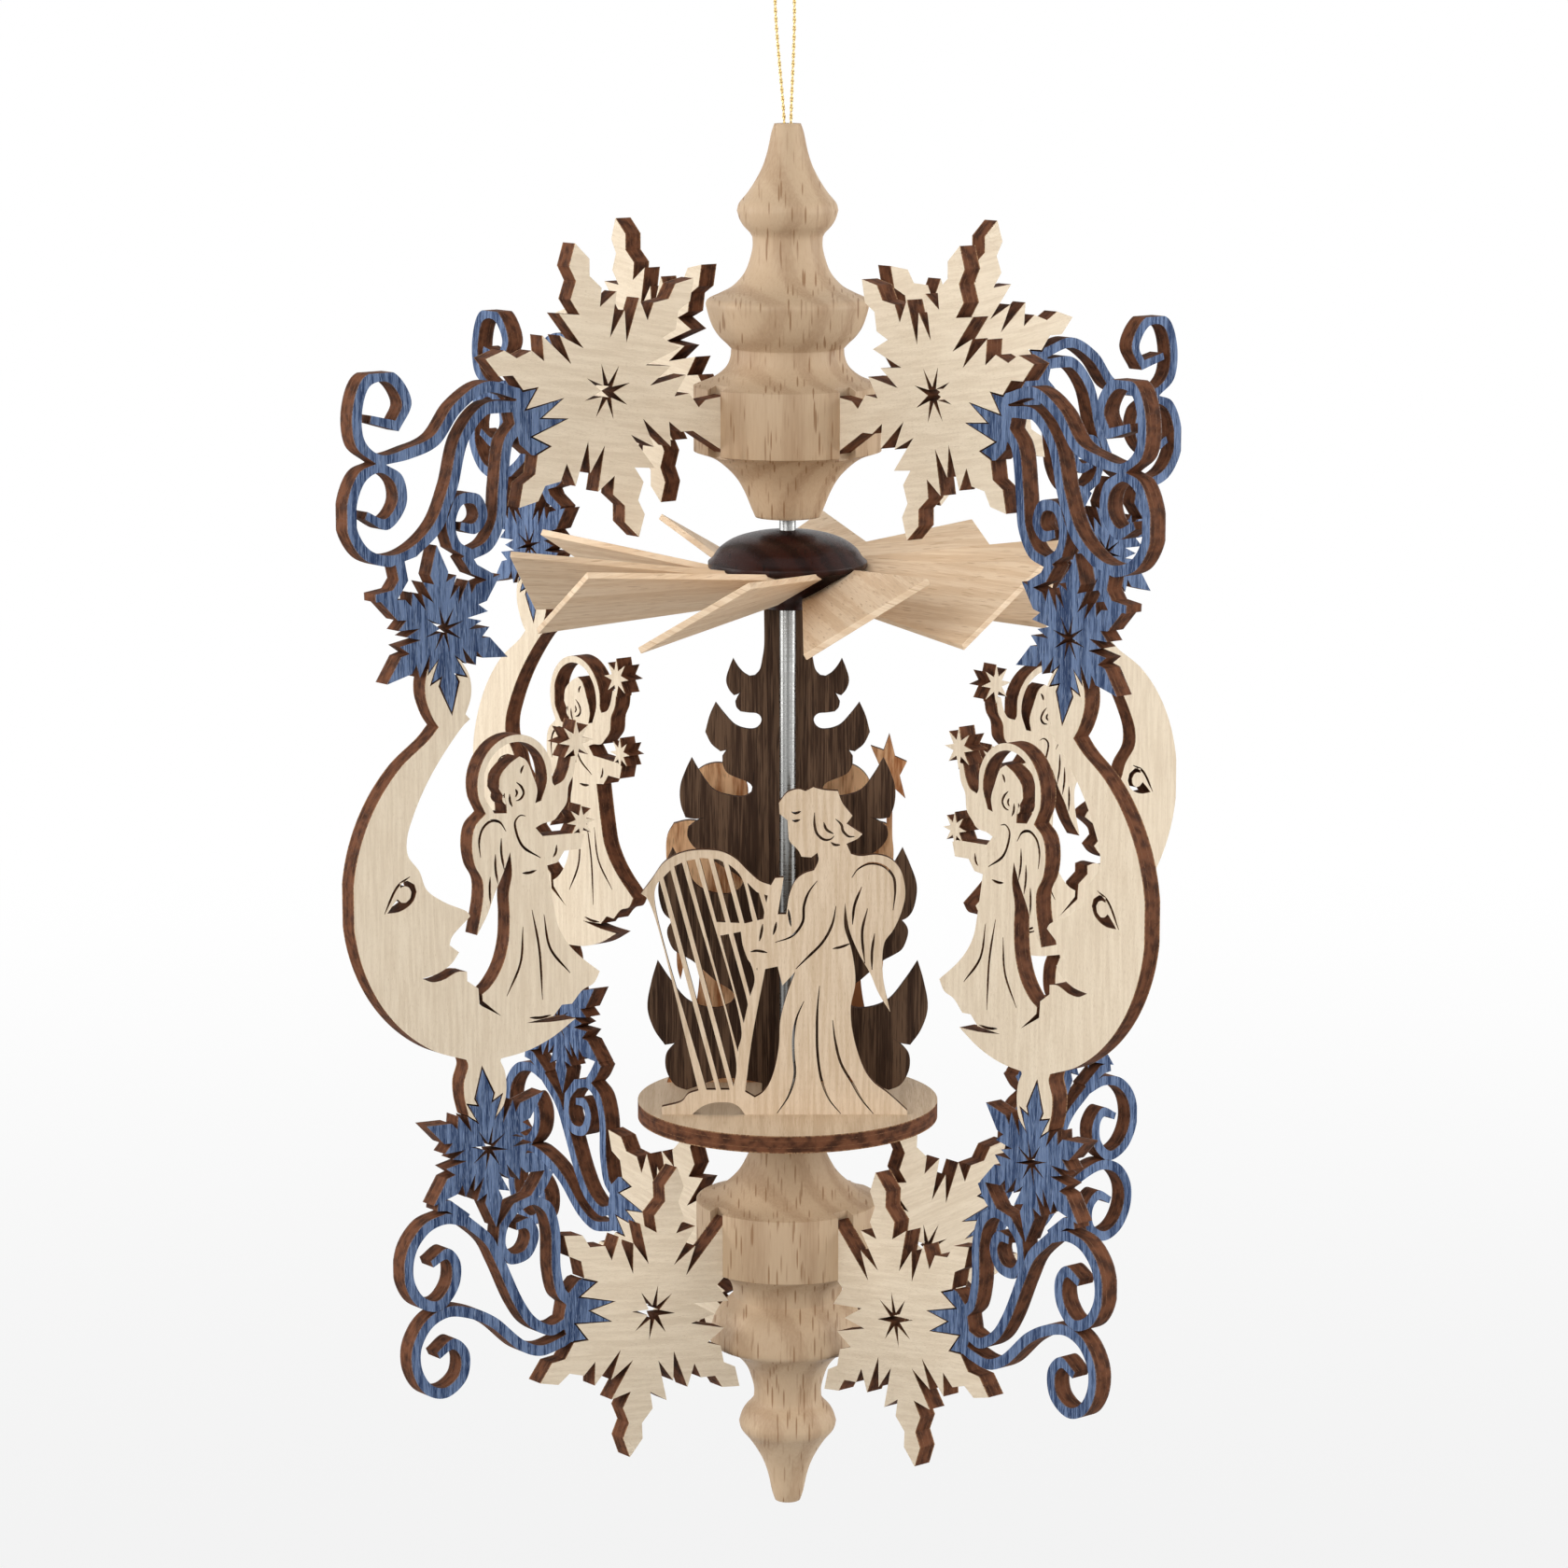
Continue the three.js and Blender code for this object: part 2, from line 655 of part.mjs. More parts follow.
// Feet of the standing pieces, [left end, right end] in shares of the field
const treeFootShares = [[-0.08, 0.08]];
const angelFootShares = [[-0.384, -0.296], [-0.124, 0.366]];
const backFootShares = [[-0.383, 0.335]];

function groove(left, right, thick, depthwise) {
  const box = new THREE.BoxGeometry(
    right - left + seatGap * 2,
    thick + seatGap * 2,
    grooveDepth + overrun,
  );
  box.translate((left + right) / 2, depthwise, grooveFloor + (grooveDepth + overrun) / 2);
  return toSolid(box);
}

// The turntable with grooves that the tree and the figures stand in.
function disc() {
  const round = new THREE.CylinderGeometry(discRadius, discRadius, discThick, discSides);
  round.rotateX(Math.PI / 2).translate(0, 0, discBottom + discThick / 2);
  let solid = toSolid(round).subtract(drill(shaftRadius + seatGap, discThick + overrun, discBottom));
  treeFootShares.forEach(([left, right]) => {
    solid = solid.subtract(groove(left * treeField, right * treeField, treeThick, treeMiddle));
  });
  angelFootShares.forEach(([left, right]) => {
    solid = solid.subtract(groove(left * figureField, right * figureField, figureThick, angelMiddle));
  });
  backFootShares.forEach(([left, right]) => {
    solid = solid.subtract(groove(left * figureField, right * figureField, figureThick, backMiddle));
  });
  return toGeometry(solid);
}

// Right half of the tree from its trunk down to its foot, in shares of the tree's field.
// Each line is smooth, and the lines meet at the tips of the boughs and in their notches.
const treeLineShares = [
  [[0.072, 1.42], [0.086, 1.346], [0.116, 1.328], [0.148, 1.354], [0.166, 1.384]],
  [[0.166, 1.384], [0.188, 1.316], [0.164, 1.27], [0.138, 1.286]],
  [
    [0.138, 1.286], [0.16, 1.25], [0.144, 1.22], [0.094, 1.214], [0.08, 1.192],
    [0.1, 1.166], [0.16, 1.178], [0.22, 1.248],
  ],
  [[0.22, 1.248], [0.252, 1.156], [0.206, 1.096], [0.17, 1.114]],
  [
    [0.17, 1.114], [0.2, 1.08], [0.186, 1.03], [0.13, 1.004], [0.108, 0.984],
    [0.13, 0.956], [0.226, 0.976], [0.294, 1.076],
  ],
  [[0.294, 1.076], [0.33, 0.984], [0.314, 0.89], [0.252, 0.892]],
  [
    [0.252, 0.892], [0.306, 0.858], [0.292, 0.802], [0.2, 0.736], [0.134, 0.69],
    [0.178, 0.65], [0.276, 0.674], [0.354, 0.794],
  ],
  [[0.354, 0.794], [0.398, 0.678], [0.382, 0.59], [0.35, 0.566]],
  [
    [0.35, 0.566], [0.372, 0.534], [0.352, 0.474], [0.296, 0.44], [0.22, 0.374],
    [0.16, 0.33], [0.21, 0.29], [0.31, 0.314], [0.402, 0.438],
  ],
  [[0.402, 0.438], [0.434, 0.29], [0.38, 0.172], [0.318, 0.202]],
  [[0.318, 0.202], [0.376, 0.142], [0.368, 0.07], [0.314, 0.028], [0.2, 0.066], [0.08, 0.05]],
  [[0.08, 0.05], [0.08, 0]],
];

function tree() {
  const base = point(0, footLevel);
  const [[, footShare]] = treeFootShares;
  const right = [point(treeLineShares[0][0][0] * treeField, hubBottom - seatGap)];
  treeLineShares.forEach((line) => right.push(...smooth(placed(line, treeField, base)).slice(0, -1)));
  right.push(point(footShare * treeField, footLevel));
  const left = right.map(({ x, y }) => point(-x, y)).reverse();
  return plate([...right, ...left], treeThick).translate(0, treeMiddle, 0);
}

// The angel with the harp, in shares of the figures' field from the foot of the shaft line
const angelShares = [
  [0.366, 0], [-0.124, 0], [-0.15, 0.036], [-0.178, 0.048], [-0.248, 0.042], [-0.288, 0.014],
  [-0.296, 0], [-0.384, 0], [-0.384, 0.034], [-0.322, 0.052], [-0.304, 0.074], [-0.272, 0.086],
  [-0.424, 0.682], [-0.444, 0.7], [-0.41, 0.746], [-0.376, 0.794], [-0.34, 0.818],
  [-0.3, 0.831], [-0.248, 0.835], [-0.198, 0.829], [-0.158, 0.808], [-0.122, 0.772],
  [-0.086, 0.74], [-0.05, 0.726], [-0.038, 0.748], [-0.012, 0.75], [-0.03, 0.636],
  [-0.004, 0.636], [0.006, 0.698], [0.024, 0.74], [0.05, 0.762], [0.08, 0.772],
  [0.094, 0.804], [0.09, 0.826], [0.072, 0.812], [0.042, 0.814], [0.032, 0.834],
  [0.006, 0.862], [0.002, 0.89], [0, 0.926], [-0.024, 0.946], [-0.026, 0.98], [0, 1.012],
  [0.034, 1.022], [0.054, 1.016], [0.078, 1.028], [0.106, 1.02], [0.152, 1.016],
  [0.164, 0.982], [0.196, 0.94], [0.178, 0.916], [0.226, 0.884], [0.212, 0.87],
  [0.178, 0.854], [0.192, 0.822], [0.22, 0.816], [0.27, 0.82], [0.312, 0.807],
  [0.34, 0.776], [0.354, 0.732], [0.356, 0.69], [0.344, 0.64], [0.32, 0.586],
  [0.294, 0.548], [0.29, 0.442], [0.312, 0.332], [0.276, 0.392], [0.252, 0.45],
  [0.218, 0.512], [0.188, 0.586], [0.174, 0.672], [0.172, 0.598], [0.194, 0.526],
  [0.206, 0.428], [0.192, 0.342], [0.202, 0.25], [0.234, 0.152], [0.262, 0.112],
  [0.31, 0.074], [0.366, 0.022],
];
const pillarGapShares = [
  [-0.13, 0.082], [-0.1, 0.064], [-0.078, 0.078], [-0.058, 0.104], [-0.04, 0.152],
  [-0.026, 0.23], [-0.022, 0.306], [0, 0.392], [0.024, 0.458], [-0.016, 0.414],
  [-0.03, 0.474], [-0.068, 0.466], [-0.108, 0.252],
];
const harpShares = [
  [-0.248, 0.088], [-0.404, 0.688], [-0.394, 0.732], [-0.344, 0.784], [-0.312, 0.8],
  [-0.262, 0.81], [-0.212, 0.806], [-0.178, 0.79], [-0.142, 0.754], [-0.092, 0.704],
  [-0.06, 0.694], [-0.072, 0.632], [-0.092, 0.464], [-0.122, 0.35], [-0.15, 0.22],
  [-0.166, 0.088],
];
const harpHandShares = [
  [-0.04, 0.63], [-0.128, 0.608], [-0.214, 0.612], [-0.224, 0.59], [-0.214, 0.568],
  [-0.142, 0.582], [-0.136, 0.54], [-0.12, 0.494], [-0.1, 0.468], [-0.04, 0.47],
];
const stringCount = 8;
const stringStartShares = [-0.26, 0.088];
const stringEndShare = 0.86;
const stringPitchShare = 0.0416;
const stringWidthShare = 0.0144;
const stringSlantShare = 0.26;

function harpString(index, base) {
  const [start, low] = stringStartShares;
  const foot = start + index * stringPitchShare;
  const top = foot - (stringEndShare - low) * stringSlantShare;
  return plateSolid(placed([
    [foot, low],
    [foot + stringWidthShare, low],
    [top + stringWidthShare, stringEndShare],
    [top, stringEndShare],
  ], figureField, base), figureThick + overrun * 2);
}

function harpAngel() {
  const base = point(0, footLevel);
  const cutThick = figureThick + overrun;
  const gap = placed(pillarGapShares, figureField, base);
  let harp = plateSolid(placed(harpShares, figureField, base), cutThick);
  harp = harp.subtract(plateSolid(placed(harpHandShares, figureField, base), cutThick + overrun));
  for (let index = 1; index <= stringCount; index += 1) {
    harp = harp.subtract(harpString(index, base));
  }
  const body = plateSolid(placed(angelShares, figureField, base), figureThick, [gap]);
  return toGeometry(body.subtract(harp)).translate(0, angelMiddle, 0);
}

// Two winged singers side by side about their own middle, the right one with a star on a staff
const singersAsideShare = -0.024;
const singerShares = [
  [0.359, 0], [0.325, 0.08], [0.272, 0.22], [0.252, 0.36], [0.262, 0.44], [0.283, 0.5],
  [0.298, 0.44], [0.303, 0.38], [0.311, 0.34], [0.321, 0.38], [0.324, 0.48], [0.34, 0.62],
  [0.354, 0.74], [0.35, 0.8], [0.33, 0.838], [0.284, 0.848], [0.226, 0.84],
];
const singerHeadCentreShares = [0.192, 0.936];
const singerHeadShare = 0.094;
const singerFrontShares = [[0.13, 0.82], [0.06, 0.73], [0, 0.6]];
const staffShares = [[0.308, 0.78], [0.326, 0.78], [0.326, 0.98], [0.308, 0.98]];
const staffStarShares = [
  [0.316, 1.121], [0.334, 1.049], [0.37, 1.033], [0.348, 0.989], [0.366, 0.917],
  [0.324, 0.957], [0.28, 0.927], [0.29, 0.997], [0.258, 1.083], [0.298, 1.069],
];

function backFigures() {
  const base = point(0, footLevel);
  const middle = point(singersAsideShare * figureField, footLevel);
  const right = [
    ...singerShares,
    ...arcShares(singerHeadCentreShares, singerHeadShare, -60, 240, 12),
    ...singerFrontShares,
  ];
  const left = right.slice(0, -1).map(([across, up]) => [-across, up]).reverse();
  const singers = plateSolid(placed([...right, ...left], figureField, middle), figureThick);
  const staff = plateSolid(placed(staffShares, figureField, base), figureThick);
  const sign = plateSolid(placed(staffStarShares, figureField, base), figureThick);
  return toGeometry(singers.add(staff).add(sign)).translate(0, backMiddle, 0);
}

// Materials
const beech = new THREE.MeshStandardMaterial({ color: '#dcc09a', roughness: 0.6, metalness: 0 });
const plywood = new THREE.MeshStandardMaterial({ color: '#e2cdac', roughness: 0.7, metalness: 0 });
const bluePly = new THREE.MeshStandardMaterial({ color: '#456bab', roughness: 0.65, metalness: 0 });
const bladeWood = new THREE.MeshStandardMaterial({ color: '#dfc39c', roughness: 0.65, metalness: 0 });
const walnut = new THREE.MeshStandardMaterial({ color: '#43302a', roughness: 0.6, metalness: 0 });
const darkWood = new THREE.MeshStandardMaterial({ color: '#3a1d15', roughness: 0.45, metalness: 0 });
const veneer = new THREE.MeshStandardMaterial({ color: '#e0caa6', roughness: 0.7, metalness: 0 });
const steel = new THREE.MeshStandardMaterial({ color: '#c3c6c9', roughness: 0.25, metalness: 1 });
const brass = new THREE.MeshStandardMaterial({ color: '#b8975a', roughness: 0.35, metalness: 1 });
const thread = new THREE.MeshStandardMaterial({ color: '#c8a04c', roughness: 0.5, metalness: 0.4 });

function named(name, geometry, material) {
  const mesh = new THREE.Mesh(geometry, material.clone());
  mesh.name = name;
  return mesh;
}

// One flat arm with its five inlaid pieces
function armPieces(number) {
  const piece = (name, geometry, material) => named(`${name}_${number}`, geometry, material);
  const arm = new THREE.Group();
  arm.add(
    piece('upper_snowflake', toGeometry(
      plateSolid(upperSnowOutline, panelThick, [snowStar(upperSnow, upperStarTurn)]),
    ), plywood),
    piece('upper_scroll', scroll(
      upperStrandShares, upperSnow, upperSnowTurn, upperSnowOutline, upperSmallOutline,
    ), bluePly),
    piece('moon_angel', moonAngel(), plywood),
    piece('lower_scroll', scroll(
      lowerStrandShares, lowerSnow, lowerSnowTurn + (2 * Math.PI) / snowArms, lowerSnowOutline,
      lowerSmallOutline,
    ), bluePly),
    piece('lower_snowflake', toGeometry(
      plateSolid(lowerSnowOutline, panelThick, [snowStar(lowerSnow, lowerStarTurn)]),
    ), plywood),
  );
  return arm;
}

const group = new THREE.Group();
group.position.z = -hangHeight;

group.add(
  named('upper_finial', upperFinial(), beech),
  named('lower_finial', lowerFinial(), beech),
  named('pivot_cup', pivotCup(), brass),
  named('hanging_loop', hangingLoop(), thread),
);
for (let arm = 0; arm < armCount; arm += 1) {
  const pieces = armPieces(arm + 1);
  pieces.rotation.z = armTurn + (arm * 2 * Math.PI) / armCount;
  group.add(pieces);
}

const spinner = new THREE.Group();
spinner.add(
  named('shaft', shaft(), steel),
  named('hub', hub(), darkWood),
  named('disc', disc(), plywood),
  named('tree', tree(), walnut),
  named('harp_angel', harpAngel(), veneer),
  named('back_figures', backFigures(), veneer),
);
for (let index = 0; index < bladeCount; index += 1) {
  const blade = named(`blade_${String(index + 1).padStart(2, '0')}`, bladeSolid(0), bladeWood);
  blade.rotation.z = bladeAngle(index);
  spinner.add(blade);
}
group.add(spinner);

export default group;
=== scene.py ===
"""Looks of a hanging heat spinner: fretted plywood arms, turned beech finials and a bladed wheel.

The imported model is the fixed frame. Each flat piece is drawn again from its own solid with a
smooth outline and the fine burnt slits that the solids leave out, and each turned piece is
turned again with a round section. All lengths are metres, +Z up, the figures facing -Y.
"""

from __future__ import annotations

import logging
import math
from collections.abc import Sequence
from dataclasses import dataclass
from enum import Enum

import bmesh
import bpy
import numpy as np
from mathutils import Matrix, Vector
from mathutils.geometry import delaunay_2d_cdt


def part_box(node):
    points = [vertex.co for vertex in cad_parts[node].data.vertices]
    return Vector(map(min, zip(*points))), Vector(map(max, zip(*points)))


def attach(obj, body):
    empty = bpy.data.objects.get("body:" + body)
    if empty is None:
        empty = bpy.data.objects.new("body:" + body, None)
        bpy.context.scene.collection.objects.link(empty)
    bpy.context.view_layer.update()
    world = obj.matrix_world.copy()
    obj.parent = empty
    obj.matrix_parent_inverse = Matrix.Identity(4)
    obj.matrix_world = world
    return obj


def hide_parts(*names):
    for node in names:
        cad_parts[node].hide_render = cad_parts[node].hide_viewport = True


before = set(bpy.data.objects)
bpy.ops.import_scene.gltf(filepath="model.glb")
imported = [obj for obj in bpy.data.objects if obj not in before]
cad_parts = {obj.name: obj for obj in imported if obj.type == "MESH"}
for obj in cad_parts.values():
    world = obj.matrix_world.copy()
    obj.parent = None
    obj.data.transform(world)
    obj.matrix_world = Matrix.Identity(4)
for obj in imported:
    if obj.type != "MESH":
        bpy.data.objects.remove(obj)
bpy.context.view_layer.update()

LOG = logging.getLogger("heat_spinner")
MM = 0.001
GRAIN_MAP = "grain"
PIECE_NUMBER = "piece_number"
REACH = "reach"
# How far each blade's grain is shifted from the one before
GRAIN_SHIFT = 3.7
# The arms, and the height in the object of the drawing's zero line
ARM_COUNT = 4
ARM_TURN = math.radians(39.2)
DRAWING_ZERO = -123.95 * MM
# Distances at which points count as one, as near each other or as on a plate's face
TINY = 1e-7
WELD = 0.002 * MM
NEAR = 0.03 * MM
FACE_DEPTH = 0.02 * MM
# Angles of a straight side, a sharp corner, a bevelled edge and an edge that is shaded sharp
STRAIGHT = math.radians(0.6)
SHARP_CORNER = math.radians(38)
TURNED_BEVEL = math.radians(28)
PLATE_SHADE = math.radians(32)
TURNED_SHADE = math.radians(40)
# Width of a slit's ends in shares of its middle, and share of its length where it narrows
SLIT_END = 0.25
SLIT_TAPER = 0.55
# Places of the two inputs and the result of a Mix node
MIX_SOCKETS = {"RGBA": (6, 7, 2), "FLOAT": (2, 3, 0)}
GEOMETRY_SOCKET = {"Geometry": "NodeSocketGeometry"}

Pair = tuple[float, float]
Triple = tuple[float, float, float]
Colour = Triple
Spot = Pair
Line = list[Spot]
Node = bpy.types.Node
Socket = bpy.types.NodeSocket
NodeTree = bpy.types.NodeTree


class Slot(Enum):
    """Material slots of the record."""

    BEECH = "beech"
    PLYWOOD = "plywood"
    BLUE_PLYWOOD = "blue_plywood"
    DISC_PLYWOOD = "disc_plywood"
    BLADE_VENEER = "blade_veneer"
    WALNUT = "walnut"
    DARK_WOOD = "dark_wood"
    FIGURE_VENEER = "figure_veneer"
    STEEL = "steel"
    BRASS = "brass"
    GOLD_THREAD = "gold_thread"


class Body(Enum):
    """Moving bodies of the record."""

    FRAME = "frame"
    SPINNER = "spinner"


class Graph:
    """Short calls that build one node tree."""

    def __init__(self, tree: NodeTree) -> None:
        """Keeps the tree that the calls add to."""
        self.tree = tree

    def node(self, kind: str, **settings: object) -> Node:
        """Adds a node.

        Args:
            kind: The node's type.
            settings: Properties to set on it.

        Returns:
            The new node.
        """
        made = self.tree.nodes.new(kind)
        for name, value in settings.items():
            setattr(made, name, value)
        return made

    def feed(self, socket: Socket, value: object) -> None:
        """Links a socket to another, or sets its value."""
        if isinstance(value, Socket):
            self.tree.links.new(value, socket)
        elif isinstance(value, tuple) and socket.type == "RGBA":
            socket.default_value = (*value, 1.0)
        else:
            socket.default_value = value

    def fill(self, node: Node, **values: object) -> Node:
        """Feeds inputs of a node by name.

        Args:
            node: The node.
            values: Its inputs by name, with underscores for spaces.

        Returns:
            The same node.
        """
        for label, value in values.items():
            self.feed(node.inputs[label.replace("_", " ")], value)
        return node

    def combined(self, kind: str, operation: str, *values: object) -> Socket:
        """Adds a node that combines two values.

        Args:
            kind: The node's type.
            operation: Its operation.
            values: Its two inputs.

        Returns:
            The result's socket.
        """
        made = self.node(kind, operation=operation)
        for socket, value in zip(made.inputs, values):
            self.feed(socket, value)
        return made.outputs[0]

    def math(self, operation: str, first: object, second: object = 0.0) -> Socket:
        """Adds a Math node.

        Args:
            operation: Its operation.
            first: A socket or number.
            second: A socket or number.

        Returns:
            The result's socket.
        """
        return self.combined("ShaderNodeMath", operation, first, second)

    def vector(self, operation: str, first: object, second: object) -> Socket:
        """Adds a Vector Math node.

        Args:
            operation: Its operation.
            first: A socket or vector.
            second: A socket or vector.

        Returns:
            The result's socket.
        """
        return self.combined("ShaderNodeVectorMath", operation, first, second)

    def span(self, value: object, low: float, high: float,
             to_low: float, to_high: float) -> Socket:
        """Maps a value smoothly from one range to another, clamped.

        Args:
            value: The socket to map.
            low: Start of the first range.
            high: End of the first range.
            to_low: Result at low.
            to_high: Result at high.

        Returns:
            The result's socket.
        """
        made = self.node("ShaderNodeMapRange", interpolation_type="SMOOTHSTEP")
        for index, number in enumerate((value, low, high, to_low, to_high)):
            self.feed(made.inputs[index], number)
        return made.outputs[0]

    def mix(self, share: object, first: object, second: object, kind: str = "RGBA") -> Socket:
        """Mixes two colours or two values.

        Args:
            share: How much of the second there is.
            first: A socket, colour or value.
            second: A socket, colour or value.
            kind: RGBA for colours, FLOAT for values.

        Returns:
            The result's socket.
        """
        made = self.node("ShaderNodeMix", data_type=kind)
        *places, result = MIX_SOCKETS[kind]
        for place, value in zip((0, *places), (share, first, second)):
            self.feed(made.inputs[place], value)
        return made.outputs[result]

    def noise(self, vector: object, scale: float, detail: float,
              distortion: float = 0.0) -> Socket:
        """Adds a Noise Texture.

        Args:
            vector: Where it is read.
            scale: Its scale.
            detail: Its octaves.
            distortion: How far it is warped.

        Returns:
            The factor's socket.
        """
        made = self.node("ShaderNodeTexNoise")
        self.fill(made, Vector=vector, Scale=scale, Detail=detail, Distortion=distortion)
        return made.outputs["Fac"]

    def drawn_noise(self, vector: object, stretch: Triple, detail: float) -> Socket:
        """Adds a Noise Texture that is drawn out.

        Args:
            vector: Where it is read.
            stretch: Its scale along each axis.
            detail: Its octaves.

        Returns:
            The factor's socket.
        """
        return self.noise(self.vector("MULTIPLY", vector, stretch), 1.0, detail)

    def length(self, vector: object) -> Socket:
        """Returns the length of a vector."""
        made = self.node("ShaderNodeVectorMath", operation="LENGTH")
        self.feed(made.inputs[0], vector)
        return made.outputs["Value"]

    def split(self, vector: object) -> bpy.types.NodeOutputs:
        """Returns the parts of a vector."""
        made = self.node("ShaderNodeSeparateXYZ")
        self.feed(made.inputs[0], vector)
        return made.outputs

    def grain_map(self) -> Socket:
        """Returns the map that a piece's grain runs along."""
        return self.node("ShaderNodeUVMap", uv_map=GRAIN_MAP).outputs[0]

    def group(self, tree: NodeTree, **values: object) -> bpy.types.NodeOutputs:
        """Places a shared group.

        Args:
            tree: The group to place.
            values: Its inputs by name.

        Returns:
            Its outputs.
        """
        return self.fill(self.node("ShaderNodeGroup", node_tree=tree), **values).outputs

    def bump(self, shader: Node, height: object, strength: float, depth: float) -> None:
        """Feeds a height to a shader's normal.

        Args:
            shader: The Principled node.
            height: The height's socket.
            strength: Strength of the Bump node.
            depth: Its distance.
        """
        made = self.fill(self.node("ShaderNodeBump"), Strength=strength, Distance=depth,
                         Height=height)
        self.feed(shader.inputs["Normal"], made.outputs[0])


def new_tree(name: str, kind: str, inputs: dict[str, str],
             outputs: dict[str, str]) -> tuple[Graph, Node, Node]:
    """Starts a node group.

    Args:
        name: The group's name.
        kind: Its type.
        inputs: Types of its input sockets by name.
        outputs: Types of its output sockets by name.

    Returns:
        Its graph, its input node and its output node.
    """
    tree = bpy.data.node_groups.new(name, kind)
    for way, sockets in (("INPUT", inputs), ("OUTPUT", outputs)):
        for label, socket in sockets.items():
            tree.interface.new_socket(name=label, in_out=way, socket_type=socket)
    graph = Graph(tree)
    return graph, graph.node("NodeGroupInput"), graph.node("NodeGroupOutput")


def grain_group() -> NodeTree:
    """Wood grain: broad bands, fine fibres and short dark pores, all drawn out along the grain.

    Returns:
        The shader node group, built once.
    """
    if "wood_grain" in bpy.data.node_groups:
        return bpy.data.node_groups["wood_grain"]
    seed_shift, band_warp, fibre_scale = (1.0, 1.7, 2.3), 0.35, 7.0
    pore_scale, pore_range = 12.0, (0.6, 0.72)
    sockets = {"Vector": "NodeSocketVector", "Stretch": "NodeSocketVector", "Seed": "NodeSocketFloat"}
    results = dict.fromkeys(("Bands", "Fibres", "Pores", "Height"), "NodeSocketFloat")
    graph, start, end = new_tree("wood_grain", "ShaderNodeTree", sockets, results)
    stretched = graph.vector("MULTIPLY", start.outputs["Vector"], start.outputs["Stretch"])
    offset = graph.node("ShaderNodeVectorMath", operation="SCALE")
    graph.feed(offset.inputs[0], seed_shift)
    graph.feed(offset.inputs["Scale"], start.outputs["Seed"])
    shifted = graph.vector("ADD", stretched, offset.outputs[0])
    bands = graph.noise(shifted, 1.0, 2.0, band_warp)
    fibres = graph.noise(shifted, fibre_scale, 3.0)
    pores = graph.span(graph.noise(shifted, pore_scale, 1.0), *pore_range, 0.0, 1.0)
    height = graph.math("SUBTRACT", graph.math("MULTIPLY", fibres, 0.5), pores)
    graph.fill(end, Bands=bands, Fibres=fibres, Pores=pores, Height=height)
    return graph.tree


def fleck_group() -> NodeTree:
    """Short separate dashes drawn out along the grain, as beech shows.

    Returns:
        The shader node group, built once.
    """
    if "wood_flecks" in bpy.data.node_groups:
        return bpy.data.node_groups["wood_flecks"]
    patch_scale, patch_range, faintest, softness = 0.55, (0.42, 0.58), 0.25, 0.12
    sockets = {"Vector": "NodeSocketVector", "Stretch": "NodeSocketVector", "Size": "NodeSocketFloat"}
    results = {"Flecks": "NodeSocketFloat"}
    graph, start, end = new_tree("wood_flecks", "ShaderNodeTree", sockets, results)
    stretched = graph.vector("MULTIPLY", start.outputs["Vector"], start.outputs["Stretch"])
    cells = graph.fill(graph.node("ShaderNodeTexVoronoi", feature="F1"), Vector=stretched, Scale=1.0)
    nearness = graph.math("SUBTRACT", start.outputs["Size"], cells.outputs["Distance"])
    chosen = graph.span(graph.noise(stretched, patch_scale, 1.0), *patch_range, faintest, 1.0)
    mask = graph.math("MULTIPLY", graph.span(nearness, 0.0, softness, 0.0, 1.0), chosen)
    graph.feed(end.inputs["Flecks"], mask)
    return graph.tree


@dataclass(frozen=True)
class Finish:
    """What every finish has: its name and a plain start of its material."""

    name: str

    def start(self) -> tuple[bpy.types.Material, Graph, Node]:
        """Starts the material.

        Returns:
            The material, its graph and its Principled node.
        """
        material = bpy.data.materials.new(self.name)
        material.use_nodes = True
        graph = Graph(material.node_tree)
        shader = material.node_tree.nodes["Principled BSDF"]
        return material, graph, shader

    def build(self) -> bpy.types.Material:
        """Builds the material. Each finish has its own."""
        raise NotImplementedError

    def material(self) -> bpy.types.Material:
        """Returns the finish's material, built once."""
        return bpy.data.materials.get(self.name) or self.build()


